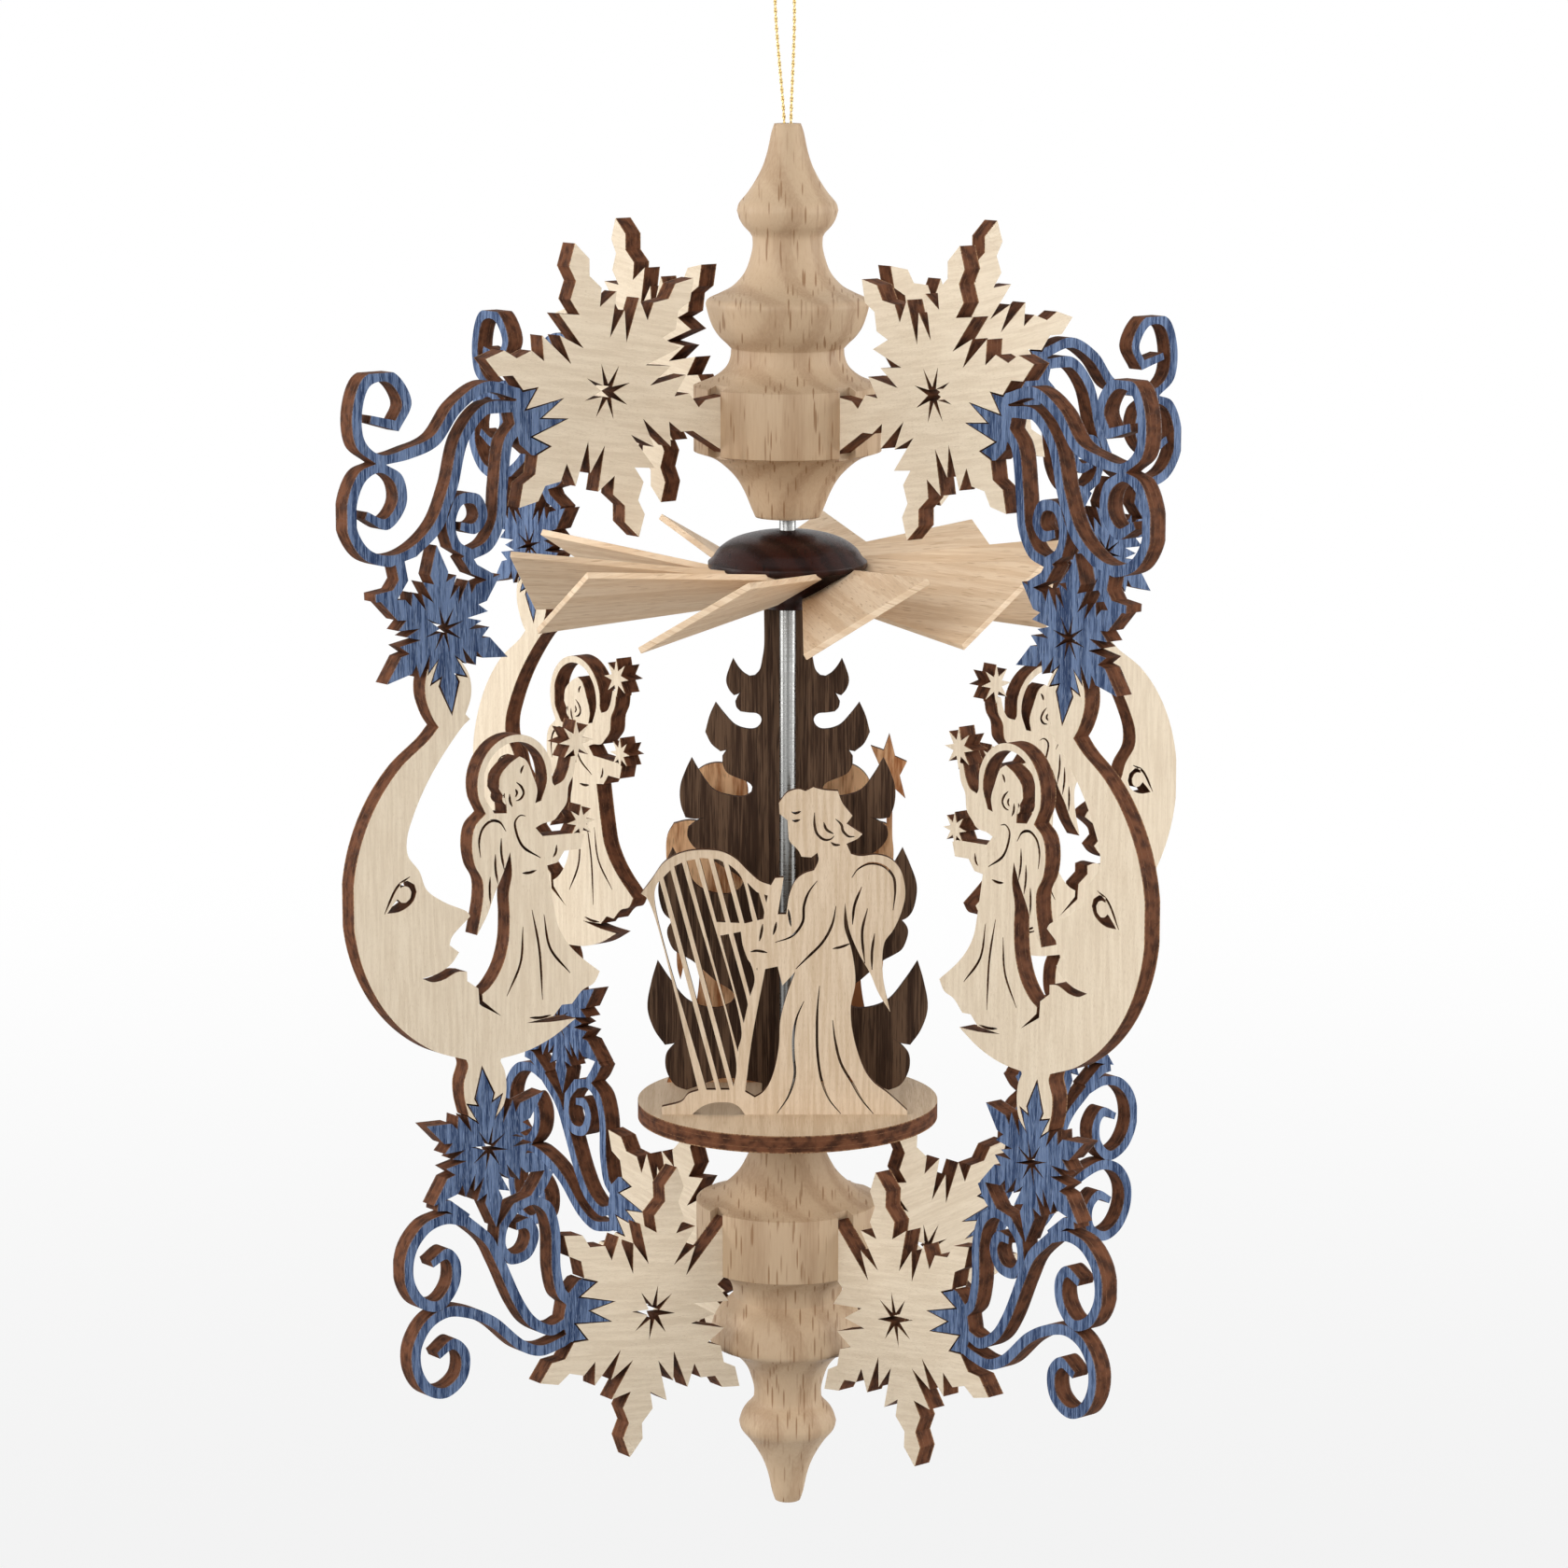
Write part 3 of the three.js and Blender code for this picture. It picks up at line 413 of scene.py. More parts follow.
@dataclass(frozen=True)
class Veneer(Finish):
    """A flat face of wood, its grain running up the piece's own map."""

    light: Colour
    dark: Colour
    pore: Colour
    band_width: float = 2.2 * MM
    band_length: float = 55.0 * MM
    pore_share: float = 0.35
    fibre_share: float = 0.45
    spread: float = 0.15
    roughness: float = 0.6
    gloss: float = 0.2
    relief: float = 0.05 * MM
    fleck: Colour | None = None
    fleck_width: float = 0.5 * MM
    fleck_length: float = 1.6 * MM
    fleck_size: float = 0.3

    def build(self) -> bpy.types.Material:
        """Builds the veneer's material.

        Returns:
            The material.
        """
        material, graph, shader = self.start()
        place = graph.grain_map()
        number = graph.node("ShaderNodeAttribute", attribute_name=PIECE_NUMBER).outputs["Fac"]
        stretch = (1 / self.band_width, 1 / self.band_length, 0.0)
        grain = graph.group(grain_group(), Vector=place, Stretch=stretch, Seed=number)
        fibres = graph.math("SUBTRACT", grain["Fibres"], 0.5)
        fibres = graph.math("MULTIPLY", fibres, self.fibre_share)
        tone = graph.math("ADD", grain["Bands"], fibres)
        darkness = graph.span(tone, 0.5 - self.spread, 0.5 + self.spread, 0.0, 1.0)
        colour = graph.mix(darkness, self.light, self.dark)
        pores = graph.math("MULTIPLY", grain["Pores"], self.pore_share)
        colour = graph.mix(pores, colour, self.pore)
        if self.fleck:
            stretch = (1 / self.fleck_width, 1 / self.fleck_length, 0.0)
            flecks = graph.group(fleck_group(), Vector=place, Stretch=stretch, Size=self.fleck_size)
            colour = graph.mix(flecks["Flecks"], colour, self.fleck)
        low, high = self.roughness - 0.06, self.roughness + 0.08
        rough = graph.span(grain["Fibres"], 0.3, 0.7, low, high)
        graph.fill(shader, Base_Color=colour, Roughness=rough, Specular_IOR_Level=self.gloss)
        graph.bump(shader, grain["Height"], 0.5, self.relief)
        return material


@dataclass(frozen=True)
class BurntEdge(Finish):
    """The laser-burnt edge of plywood: brown plies between paler lines, scorched unevenly."""

    core: Colour = (0.14, 0.053, 0.025)
    scorch: Colour = (0.045, 0.017, 0.0085)
    line: Colour = (0.2, 0.095, 0.048)
    rim: Colour = (0.36, 0.21, 0.11)
    line_place: float = 0.19
    streak: float = 0.35 * MM
    line_width: float = 0.035
    gloss: float = 0.1
    relief: float = 0.06 * MM

    def build(self) -> bpy.types.Material:
        """Builds the edge's material. Its map runs round the edge, and across it from -1/2 to 1/2.

        Returns:
            The material.
        """
        material, graph, shader = self.start()
        place = graph.grain_map()
        parts = graph.split(place)
        across = graph.math("ABSOLUTE", parts["Y"])
        broad, narrow = (1 / (6 * self.streak), 2.0, 0.0), (1 / self.streak, 1.5, 0.0)
        uneven = graph.drawn_noise(place, broad, 3.0)
        streaks = graph.drawn_noise(place, narrow, 2.0)
        colour = graph.mix(graph.span(uneven, 0.35, 0.68, 0.0, 1.0), self.core, self.scorch)
        distance = graph.math("ABSOLUTE", graph.math("SUBTRACT", across, self.line_place))
        line = graph.math("MULTIPLY", graph.span(distance, 0.0, self.line_width, 1.0, 0.0),
                          graph.span(streaks, 0.4, 0.62, 0.1, 0.8))
        colour = graph.mix(line, colour, self.line)
        rim = graph.math("MULTIPLY", graph.span(across, 0.4, 0.49, 0.0, 1.0),
                         graph.span(streaks, 0.36, 0.6, 0.15, 1.0))
        colour = graph.mix(rim, colour, self.rim)
        rough = graph.span(streaks, 0.3, 0.7, 0.62, 0.85)
        graph.fill(shader, Base_Color=colour, Roughness=rough, Specular_IOR_Level=self.gloss)
        graph.bump(shader, graph.math("ADD", streaks, rim), 0.5, self.relief)
        return material


@dataclass(frozen=True)
class TurnedWood(Finish):
    """Wood turned from the solid, its fibres upright and its year rings cut through."""

    light: Colour
    dark: Colour
    fleck: Colour
    ring: float = 3.4 * MM
    ring_centre: Spot = (0.031, 0.022)
    ring_share: float = 0.5
    fleck_width: float = 0.75 * MM
    fleck_depth: float = 4.5 * MM
    fleck_length: float = 3.2 * MM
    fleck_size: float = 0.27
    fibre_scale: Triple = (450.0, 450.0, 30.0)
    fibre_share: float = 0.6
    warp_scale: Triple = (60.0, 60.0, 14.0)
    warp_depth: float = 2.2 * MM
    ring_lean: float = 0.07
    roughness: float = 0.5
    gloss: float = 0.3
    coat: float = 0.0
    coat_roughness: float = 0.2
    relief: float = 0.06 * MM

    def build(self) -> bpy.types.Material:
        """Builds the turned wood's material on Object coordinates.

        Returns:
            The material.
        """
        material, graph, shader = self.start()
        place = graph.node("ShaderNodeTexCoord").outputs["Object"]
        grain = graph.group(grain_group(), Vector=place, Stretch=self.fibre_scale, Seed=0.0)
        centred = graph.vector("SUBTRACT", place, (*self.ring_centre, 0.0))
        leaned = graph.vector("MULTIPLY", centred, (1.0, 1.0, self.ring_lean))
        warp = graph.drawn_noise(place, self.warp_scale, 2.0)
        warp = graph.math("MULTIPLY", warp, self.warp_depth)
        depth = graph.math("ADD", graph.length(leaned), warp)
        wave = graph.math("SINE", graph.math("MULTIPLY", depth, 2 * math.pi / self.ring))
        rings = graph.math("MULTIPLY", graph.span(wave, -0.4, 1.0, 0.0, 1.0), self.ring_share)
        fibres = graph.math("MULTIPLY", grain["Fibres"], self.fibre_share)
        tone = graph.math("ADD", rings, fibres)
        colour = graph.mix(graph.span(tone, 0.2, 0.85, 0.0, 1.0), self.light, self.dark)
        stretch = (1 / self.fleck_width, 1 / self.fleck_depth, 1 / self.fleck_length)
        flecks = graph.group(fleck_group(), Vector=place, Stretch=stretch, Size=self.fleck_size)
        colour = graph.mix(flecks["Flecks"], colour, self.fleck)
        low, high = self.roughness - 0.07, self.roughness + 0.09
        rough = graph.span(grain["Fibres"], 0.3, 0.7, low, high)
        graph.fill(shader, Base_Color=colour, Roughness=rough, Specular_IOR_Level=self.gloss,
                   Coat_Weight=self.coat, Coat_Roughness=self.coat_roughness)
        graph.bump(shader, grain["Height"], 0.35, self.relief)
        return material


@dataclass(frozen=True)
class Metal(Finish):
    """Drawn metal with faint lines round it."""

    colour: Colour
    roughness: float = 0.2
    shade: float = 0.7
    line_scale: Triple = (300.0, 300.0, 4000.0)
    smear_scale: Triple = (500.0, 500.0, 60.0)
    relief: float = 0.01 * MM

    def build(self) -> bpy.types.Material:
        """Builds the metal's material.

        Returns:
            The material.
        """
        material, graph, shader = self.start()
        place = graph.node("ShaderNodeTexCoord").outputs["Object"]
        lines = graph.drawn_noise(place, self.line_scale, 2.0)
        smears = graph.drawn_noise(place, self.smear_scale, 2.0)
        dull = tuple(part * self.shade for part in self.colour)
        colour = graph.mix(graph.span(smears, 0.4, 0.6, 0.0, 1.0), self.colour, dull)
        rough = graph.span(lines, 0.3, 0.7, self.roughness - 0.05, self.roughness + 0.1)
        graph.fill(shader, Base_Color=colour, Metallic=1.0, Roughness=rough)
        graph.bump(shader, lines, 0.2, self.relief)
        return material


@dataclass(frozen=True)
class MetalThread(Finish):
    """Yarn wrapped in metal foil: bright turns with darker gaps between them."""

    foil: Colour = (0.86, 0.66, 0.3)
    shade: Colour = (0.5, 0.34, 0.12)
    pitch: float = 0.5 * MM
    wear_scale: Triple = (6.0, 2600.0, 0.0)
    relief: float = 0.05 * MM

    def build(self) -> bpy.types.Material:
        """Builds the thread's material on the thread's own map, in metres along it.

        Returns:
            The material.
        """
        material, graph, shader = self.start()
        place = graph.grain_map()
        parts = graph.split(place)
        rise = graph.math("DIVIDE", parts["Y"], self.pitch)
        turns = graph.math("ADD", rise, parts["X"])
        wave = graph.math("SINE", graph.math("MULTIPLY", turns, 2 * math.pi))
        worn = graph.drawn_noise(place, self.wear_scale, 2.0)
        foil = graph.span(graph.math("ADD", wave, worn), -0.2, 0.8, 0.0, 1.0)
        graph.fill(shader, Base_Color=graph.mix(foil, self.shade, self.foil),
                   Metallic=graph.span(foil, 0.0, 1.0, 0.25, 0.75),
                   Roughness=graph.span(worn, 0.3, 0.7, 0.3, 0.5))
        graph.bump(shader, wave, 0.6, self.relief)
        return material


def placed(name: str, data: bpy.types.ID) -> bpy.types.Object:
    """Puts a mesh, a lamp or a camera into the scene.

    Args:
        name: The object's name.
        data: What it shows.

    Returns:
        The object.
    """
    made = bpy.data.objects.new(name, data)
    bpy.context.scene.collection.objects.link(made)
    return made


def finished(work: bmesh.types.BMesh, name: str) -> bpy.types.Mesh:
    """Closes a mesh that is being made.

    Args:
        work: The mesh being made, which is freed.
        name: The name of the plain mesh.

    Returns:
        The plain mesh.
    """
    mesh = bpy.data.meshes.new(name)
    work.to_mesh(mesh)
    work.free()
    return mesh


@dataclass(frozen=True)
class PlatePlane:
    """The upright middle plane of a flat piece, turned about the shaft and set off in depth."""

    turn: float = 0.0
    middle: float = 0.0

    def flat(self, spot: Vector) -> Vector:
        """A point of the object seen in the plane.

        Args:
            spot: The point.

        Returns:
            Its distance across, its height and its depth from the middle.
        """
        across = spot.x * math.cos(self.turn) + spot.y * math.sin(self.turn)
        depth = spot.y * math.cos(self.turn) - spot.x * math.sin(self.turn)
        return Vector((across, spot.z, depth - self.middle))

    def solid(self, across: float, height: float, depth: float) -> Vector:
        """A point of the plane in the object.

        Args:
            across: Distance from the shaft's line.
            height: Height.
            depth: Depth from the middle.

        Returns:
            The point.
        """
        off = self.middle + depth
        return Vector((
            across * math.cos(self.turn) - off * math.sin(self.turn),
            across * math.sin(self.turn) + off * math.cos(self.turn),
            height,
        ))


def node_loops(node: str, plane: PlatePlane) -> list[Line]:
    """Reads the outlines of a flat solid's face.

    Args:
        node: The solid's name.
        plane: The plane that it stands in.

    Returns:
        Its closed outlines, outer and inner, without points in the middle of a straight side.
    """
    work = bmesh.new()
    work.from_mesh(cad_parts[node].data)
    bmesh.ops.remove_doubles(work, verts=work.verts, dist=WELD)
    flats = {vert: plane.flat(vert.co) for vert in work.verts}
    deepest = max(spot.z for spot in flats.values())
    face_edges = []
    work.verts.index_update()
    for face in work.faces:
        if any(abs(flats[vert].z - deepest) > FACE_DEPTH for vert in face.verts):
            continue
        ring = [vert.index for vert in face.verts]
        face_edges.extend(zip(ring, ring[1:] + ring[:1]))
    shared = set(face_edges)
    ahead = {first: second for first, second in face_edges if (second, first) not in shared}
    work.verts.ensure_lookup_table()
    loops = []
    while ahead:
        first, spot = ahead.popitem()
        ring = [first]
        while spot != first and spot in ahead:
            ring.append(spot)
            spot = ahead.pop(spot)
        loops.append([tuple(flats[work.verts[index]][:2]) for index in ring])
    work.free()
    return [kept for kept in (without_straight(loop) for loop in loops) if len(kept) > 2]


def without_straight(loop: Line) -> Line:
    """Leaves out an outline's points that lie very near each other or on a straight side."""
    spots = [spot for index, spot in enumerate(loop) if math.dist(spot, loop[index - 1]) > NEAR]
    kept = []
    for index, spot in enumerate(spots):
        if abs(bend(spots[index - 1], spot, spots[(index + 1) % len(spots)])) > STRAIGHT:
            kept.append(spot)
    return kept


def bend(before: Spot, spot: Spot, after: Spot) -> float:
    """How far a line turns at a point.

    Args:
        before: The point before it.
        spot: The point.
        after: The point after it.

    Returns:
        The angle, positive to the left.
    """
    first = math.atan2(spot[1] - before[1], spot[0] - before[0])
    second = math.atan2(after[1] - spot[1], after[0] - spot[0])
    return (second - first + math.pi) % (2 * math.pi) - math.pi


def rounded(before: Spot, start: Spot, end: Spot, after: Spot, steps: int) -> Line:
    """Points of a smooth curve between two of its four points.

    Args:
        before: The point before the span.
        start: Where the span starts.
        end: Where it ends.
        after: The point after it.
        steps: How many parts it is cut into.

    Returns:
        The points from the start on, without the end.
    """
    points = [Vector(spot) for spot in (before, start, end, after)]
    knots = [0.0]
    for first, second in zip(points, points[1:]):
        knots.append(knots[-1] + max((second - first).length, 1e-9) ** 0.5)
    made = []
    for step in range(steps):
        now = knots[1] + (knots[2] - knots[1]) * step / steps
        level = points
        for low, high in (((0, 1, 2), (1, 2, 3)), ((0, 1), (2, 3)), ((1,), (2,))):
            level = [
                level[index].lerp(level[index + 1],
                                  (now - knots[first]) / (knots[last] - knots[first]))
                for index, (first, last) in enumerate(zip(low, high))
            ]
        made.append(tuple(level[0]))
    return made


def smoothed(loop: Line, step: float, sharp: float,
             crisp: Sequence[tuple[Spot, float]] = ()) -> Line:
    """Rounds an outline between its sharp corners.

    Args:
        loop: The closed outline.
        step: Longest part of a curved span.
        sharp: Angle above which a corner stays sharp.
        crisp: Centres and radii of the places where every corner stays sharp.

    Returns:
        The finer outline, which stays within the first one's width and height.
    """
    count = len(loop)
    turns = [abs(bend(loop[index - 1], loop[index], loop[(index + 1) % count]))
             for index in range(count)]
    for index, spot in enumerate(loop):
        if any(math.dist(spot, centre) < radius for centre, radius in crisp):
            turns[index] = math.pi
    made: Line = []
    for index in range(count):
        start, end = loop[index], loop[(index + 1) % count]
        length = math.dist(start, end)
        start_sharp, end_sharp = turns[index] > sharp, turns[(index + 1) % count] > sharp
        if (start_sharp and end_sharp) or length < step:
            made.append(start)
            continue
        before = loop[index - 1]
        after = loop[(index + 2) % count]
        if start_sharp:
            before = (2 * start[0] - end[0], 2 * start[1] - end[1])
        if end_sharp:
            after = (2 * end[0] - start[0], 2 * end[1] - start[1])
        made.extend(rounded(before, start, end, after, max(2, math.ceil(length / step))))
    across, height = zip(*loop)
    left, right, foot, top = min(across), max(across), min(height), max(height)
    return [(min(max(x, left), right), min(max(y, foot), top)) for x, y in made]


def curve_through(points: Line, step: float = 0.35 * MM) -> Line:
    """An open smooth line through points.

    Args:
        points: The points.
        step: Longest part of it.

    Returns:
        The finer line.
    """
    if len(points) < 3:
        return list(points)
    first, second, second_last, last = points[0], points[1], points[-2], points[-1]
    padded = [
        (2 * first[0] - second[0], 2 * first[1] - second[1]),
        *points,
        (2 * last[0] - second_last[0], 2 * last[1] - second_last[1]),
    ]
    made: Line = []
    for index in range(1, len(padded) - 2):
        steps = max(2, math.ceil(math.dist(padded[index], padded[index + 1]) / step))
        made.extend(rounded(*padded[index - 1:index + 3], steps))
    return [*made, last]


def slit(points: Line, width: float) -> Line:
    """The outline of a fine cut along a line, drawn in at both ends.

    Args:
        points: Points that the cut passes through.
        width: Its width in the middle.

    Returns:
        Its closed outline.
    """
    line = curve_through(points)
    left, right = [], []
    for index, spot in enumerate(line):
        along = index / (len(line) - 1)
        fullness = min(1.0, 2 * min(along, 1 - along) / SLIT_TAPER)
        half = width / 2 * (SLIT_END + (1 - SLIT_END) * fullness)
        ahead, behind = line[min(index + 1, len(line) - 1)], line[max(index - 1, 0)]
        heading = math.atan2(ahead[1] - behind[1], ahead[0] - behind[0])
        aside = (-math.sin(heading) * half, math.cos(heading) * half)
        left.append((spot[0] + aside[0], spot[1] + aside[1]))
        right.append((spot[0] - aside[0], spot[1] - aside[1]))
    return right + left[::-1]


def drawn(across: float, height: float) -> Spot:
    """A place of the drawing from its distance to the shaft and its height in millimetres."""
    return across * MM, DRAWING_ZERO + height * MM


def cuts(lines: Sequence[Line], width: float, scale: float, shift: Pair) -> list[Line]:
    """Fine cuts along lines of the drawing.

    Args:
        lines: Points of the lines in millimetres.
        width: Width of the cuts.
        scale: Scale of the lines.
        shift: How far they are moved across and up, in millimetres.

    Returns:
        Outlines of the cuts.
    """
    aside, lift = shift
    return [
        slit([drawn(across * scale + aside, height * scale + lift) for across, height in line], width)
        for line in lines
    ]


def circle(radius: float, steps: int) -> Line:
    """A closed round outline about the shaft's line.

    Args:
        radius: Its radius.
        steps: How many points it has.

    Returns:
        The points, anticlockwise.
    """
    angles = [2 * math.pi * step / steps for step in range(steps)]
    return [(radius * math.cos(angle), radius * math.sin(angle)) for angle in angles]


def star(centre: Spot, reach: float, core: float, rays: int, turn: float) -> Line:
    """A closed star outline.

    Args:
        centre: Its centre.
        reach: Length of its rays.
        core: Radius between them.
        rays: How many there are.
        turn: Angle of the first.

    Returns:
        The points, anticlockwise.
    """
    made = []
    for step in range(2 * rays):
        radius = core if step % 2 else reach
        angle = turn + math.pi * step / rays
        made.append((centre[0] + radius * math.cos(angle), centre[1] + radius * math.sin(angle)))
    return made


def filled(outlines: list[Line]) -> tuple[list[Vector], list[list[int]]]:
    """Fills outlines, leaving out what an even number of them surrounds.

    Args:
        outlines: Closed outlines.

    Returns:
        The points and the triangles between them.
    """
    spots = [Vector(spot) for outline in outlines for spot in outline]
    edges, start = [], 0
    for outline in outlines:
        count = len(outline)
        edges.extend((start + index, start + (index + 1) % count) for index in range(count))
        start += count
    made = delaunay_2d_cdt(spots, edges, [], 0, TINY, False)
    points = np.array([tuple(spot) for spot in made[0]])
    triangles = np.array([list(face) for face in made[2]])
    middles = points[triangles].mean(axis=1)
    within = np.zeros(len(middles), bool)
    for outline in outlines:
        ring = np.array(outline)
        for (x, y), (after_x, after_y) in zip(ring, np.roll(ring, -1, axis=0)):
            level = (y > middles[:, 1]) != (after_y > middles[:, 1])
            if after_y != y:
                crossing = x + (middles[:, 1] - y) * (after_x - x) / (after_y - y)
                within ^= level & (middles[:, 0] < crossing)
    return made[0], triangles[within].tolist()


@dataclass(frozen=True)
class Plate:
    """A flat piece: its outlines in its plane, its thickness and its finishes."""

    name: str
    outlines: list[Line]
    plane: PlatePlane
    thick: float
    face: Finish
    edge: Finish
    number: float = 0.0
    grain: float = 0.0

    def build(self) -> bpy.types.Object:
        """Builds the piece, its faces filled and a wall along each outline.

        Returns:
            The piece, with a map in metres for its grain.
        """
        work = bmesh.new()
        maps = work.loops.layers.uv.new(GRAIN_MAP)
        spots, triangles = filled(self.outlines)
        for side in (-0.5, 0.5):
            self._face(work, maps, spots, triangles, side)
        for outline in self.outlines:
            self._wall(work, maps, outline)
        bmesh.ops.remove_doubles(work, verts=work.verts, dist=TINY)
        bmesh.ops.recalc_face_normals(work, faces=work.faces)
        for face in work.faces:
            face.smooth = face.material_index == 1
        mesh = finished(work, self.name)
        mesh.set_sharp_from_angle(angle=PLATE_SHADE)
        mesh.materials.append(self.face.material())
        mesh.materials.append(self.edge.material())
        layer = mesh.attributes.new(PIECE_NUMBER, "FLOAT", "POINT")
        layer.data.foreach_set("value", [self.number] * len(mesh.vertices))
        return placed(self.name, mesh)

    def _face(self, work: bmesh.types.BMesh, maps: object, spots: list[Vector],
              triangles: list[list[int]], side: float) -> None:
        """Adds one face of the plate.

        Args:
            work: The mesh being made.
            maps: Its grain map.
            spots: Points of the face.
            triangles: Triangles between them.
            side: Which side, -1/2 or 1/2.
        """
        depth = side * self.thick
        verts = [work.verts.new(self.plane.solid(spot.x, spot.y, depth)) for spot in spots]
        lean = Matrix.Rotation(self.grain, 2)
        for triangle in triangles:
            ring = triangle if side < 0 else triangle[::-1]
            face = work.faces.new([verts[index] for index in ring])
            for loop, index in zip(face.loops, ring):
                loop[maps].uv = lean @ spots[index]

    def _wall(self, work: bmesh.types.BMesh, maps: object, outline: Line) -> None:
        """Adds the wall along one outline.

        Args:
            work: The mesh being made.
            maps: Its grain map.
            outline: The outline.
        """
        front = [work.verts.new(self.plane.solid(*spot, -self.thick / 2)) for spot in outline]
        back = [work.verts.new(self.plane.solid(*spot, self.thick / 2)) for spot in outline]
        run = 0.0
        for index, spot in enumerate(outline):
            after = (index + 1) % len(outline)
            length = math.dist(spot, outline[after])
            face = work.faces.new((front[index], front[after], back[after], back[index]))
            face.material_index = 1
            corners = ((run, -0.5), (run + length, -0.5), (run + length, 0.5), (run, 0.5))
            for loop, corner in zip(face.loops, corners):
                loop[maps].uv = corner
            run += length


def hold(piece: bpy.types.Object, body: Body, slot: Slot, *nodes: str) -> None:
    """Lets a piece ride on its body and stand for its solids.

    Args:
        piece: The piece.
        body: The body that it rides on.
        slot: The record's material slot of its finish; not used.
        nodes: The solids that it stands for.
    """
    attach(piece, body.value)
    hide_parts(*nodes)
    triangles = sum(len(face.vertices) - 2 for face in piece.data.polygons)
    LOG.info("%s: %d triangles", piece.name, triangles)


def baked(source: bpy.types.Object, name: str) -> bpy.types.Object:
    """Turns an object with live modifiers into a plain mesh object.

    Args:
        source: The object, which is removed.
        name: The plain piece's name.

    Returns:
        The plain piece.
    """
    graph = bpy.context.evaluated_depsgraph_get()
    mesh = bpy.data.meshes.new_from_object(source.evaluated_get(graph), depsgraph=graph,
                                           preserve_all_data_layers=True)
    bpy.data.objects.remove(source)
    mesh.name = name
    return placed(name, mesh)


def use_tree(piece: bpy.types.Object, tree: NodeTree, values: dict[str, object]) -> None:
    """Puts a geometry node tree on an object and sets its inputs by their identifiers.

    Args:
        piece: The object.
        tree: The tree.
        values: Its inputs by name.
    """
    modifier = piece.modifiers.new(tree.name, "NODES")
    modifier.node_group = tree
    for item in tree.interface.items_tree:
        if item.item_type == "SOCKET" and item.in_out == "INPUT" and item.name in values:
            modifier[item.identifier] = values[item.name]


def turning_tree() -> NodeTree:
    """Turns a profile about the shaft's line: a line of points, each with its own reach.

    Returns:
        The geometry node tree, built once.
    """
    if "turning" in bpy.data.node_groups:
        return bpy.data.node_groups["turning"]
    sockets = {**GEOMETRY_SOCKET, "Sides": "NodeSocketInt"}
    graph, start, end = new_tree("turning", "GeometryNodeTree", sockets, GEOMETRY_SOCKET)
    graph.tree.is_modifier = True
    axis = graph.fill(graph.node("GeometryNodeMeshToCurve"), Mesh=start.outputs["Geometry"])
    section = graph.fill(graph.node("GeometryNodeCurvePrimitiveCircle"), Radius=1.0,
                         Resolution=start.outputs["Sides"])
    reach = graph.fill(graph.node("GeometryNodeInputNamedAttribute", data_type="FLOAT"), Name=REACH)
    swept = graph.fill(graph.node("GeometryNodeCurveToMesh"), Curve=axis.outputs[0],
                       Profile_Curve=section.outputs[0], Scale=reach.outputs["Attribute"],
                       Fill_Caps=True)
    real = graph.fill(graph.node("GeometryNodeRealizeInstances"), Geometry=swept.outputs[0])
    graph.feed(end.inputs[0], real.outputs[0])
    return graph.tree


def moved(runs: Sequence[Sequence[Spot]], foot: float, up: float, out: float) -> tuple[Line, ...]:
    """Scales a profile and sets it on its height.

    Args:
        runs: The profile in runs of height and radius.
        foot: Where its zero height lies.
        up: Scale of the heights.
        out: Scale of the radii.

    Returns:
        The profile.
    """
    return tuple([(foot + height * up, radius * out) for height, radius in run] for run in runs)


@dataclass(frozen=True)
class Turning:
    """A piece turned about the shaft's line from runs of its profile, each run one smooth curve."""

    name: str
    runs: tuple[Line, ...]
    finish: Finish
    sides: int = 128
    step: float = 0.5 * MM
    edge: float = 0.1 * MM

    def build(self, cutters: Sequence[bpy.types.Object] = ()) -> bpy.types.Object:
        """Turns the piece.

        Args:
            cutters: Objects cut out of it, which are removed.

        Returns:
            The piece as a plain mesh.
        """
        profile: Line = []
        for run in self.runs:
            line = curve_through(list(run), self.step)
            profile.extend(line if not profile else line[1:])
        heights = [height + index * TINY for index, (height, _) in enumerate(profile)]
        mesh = bpy.data.meshes.new(self.name)
        mesh.from_pydata([(0.0, 0.0, height) for height in heights],
                         [(index, index + 1) for index in range(len(heights) - 1)], [])
        layer = mesh.attributes.new(REACH, "FLOAT", "POINT")
        layer.data.foreach_set("value", [reach for _, reach in profile])
        source = placed(self.name, mesh)
        use_tree(source, turning_tree(), {"Sides": self.sides})
        bevel = source.modifiers.new("edges", "BEVEL")
        bevel.width, bevel.segments = self.edge, 2
        bevel.limit_method, bevel.angle_limit = "ANGLE", TURNED_BEVEL
        for cutter in cutters:
            cut = source.modifiers.new(cutter.name, "BOOLEAN")
            cut.operation, cut.solver, cut.object = "DIFFERENCE", "EXACT", cutter
        piece = baked(source, self.name)
        for cutter in cutters:
            bpy.data.objects.remove(cutter)
        self._shade(piece.data)
        return piece

    def _shade(self, mesh: bpy.types.Mesh) -> None:
        """Points the faces outwards, closes the poles and shades them smooth between edges."""
        work = bmesh.new()
        work.from_mesh(mesh)
        bmesh.ops.remove_doubles(work, verts=work.verts, dist=TINY)
        bmesh.ops.recalc_face_normals(work, faces=work.faces)
        for face in work.faces:
            face.smooth = True
        work.to_mesh(mesh)
        work.free()
        mesh.set_sharp_from_angle(angle=TURNED_SHADE)
        mesh.materials.clear()
        mesh.materials.append(self.finish.material())
        mesh.polygons.foreach_set("material_index", [0] * len(mesh.polygons))


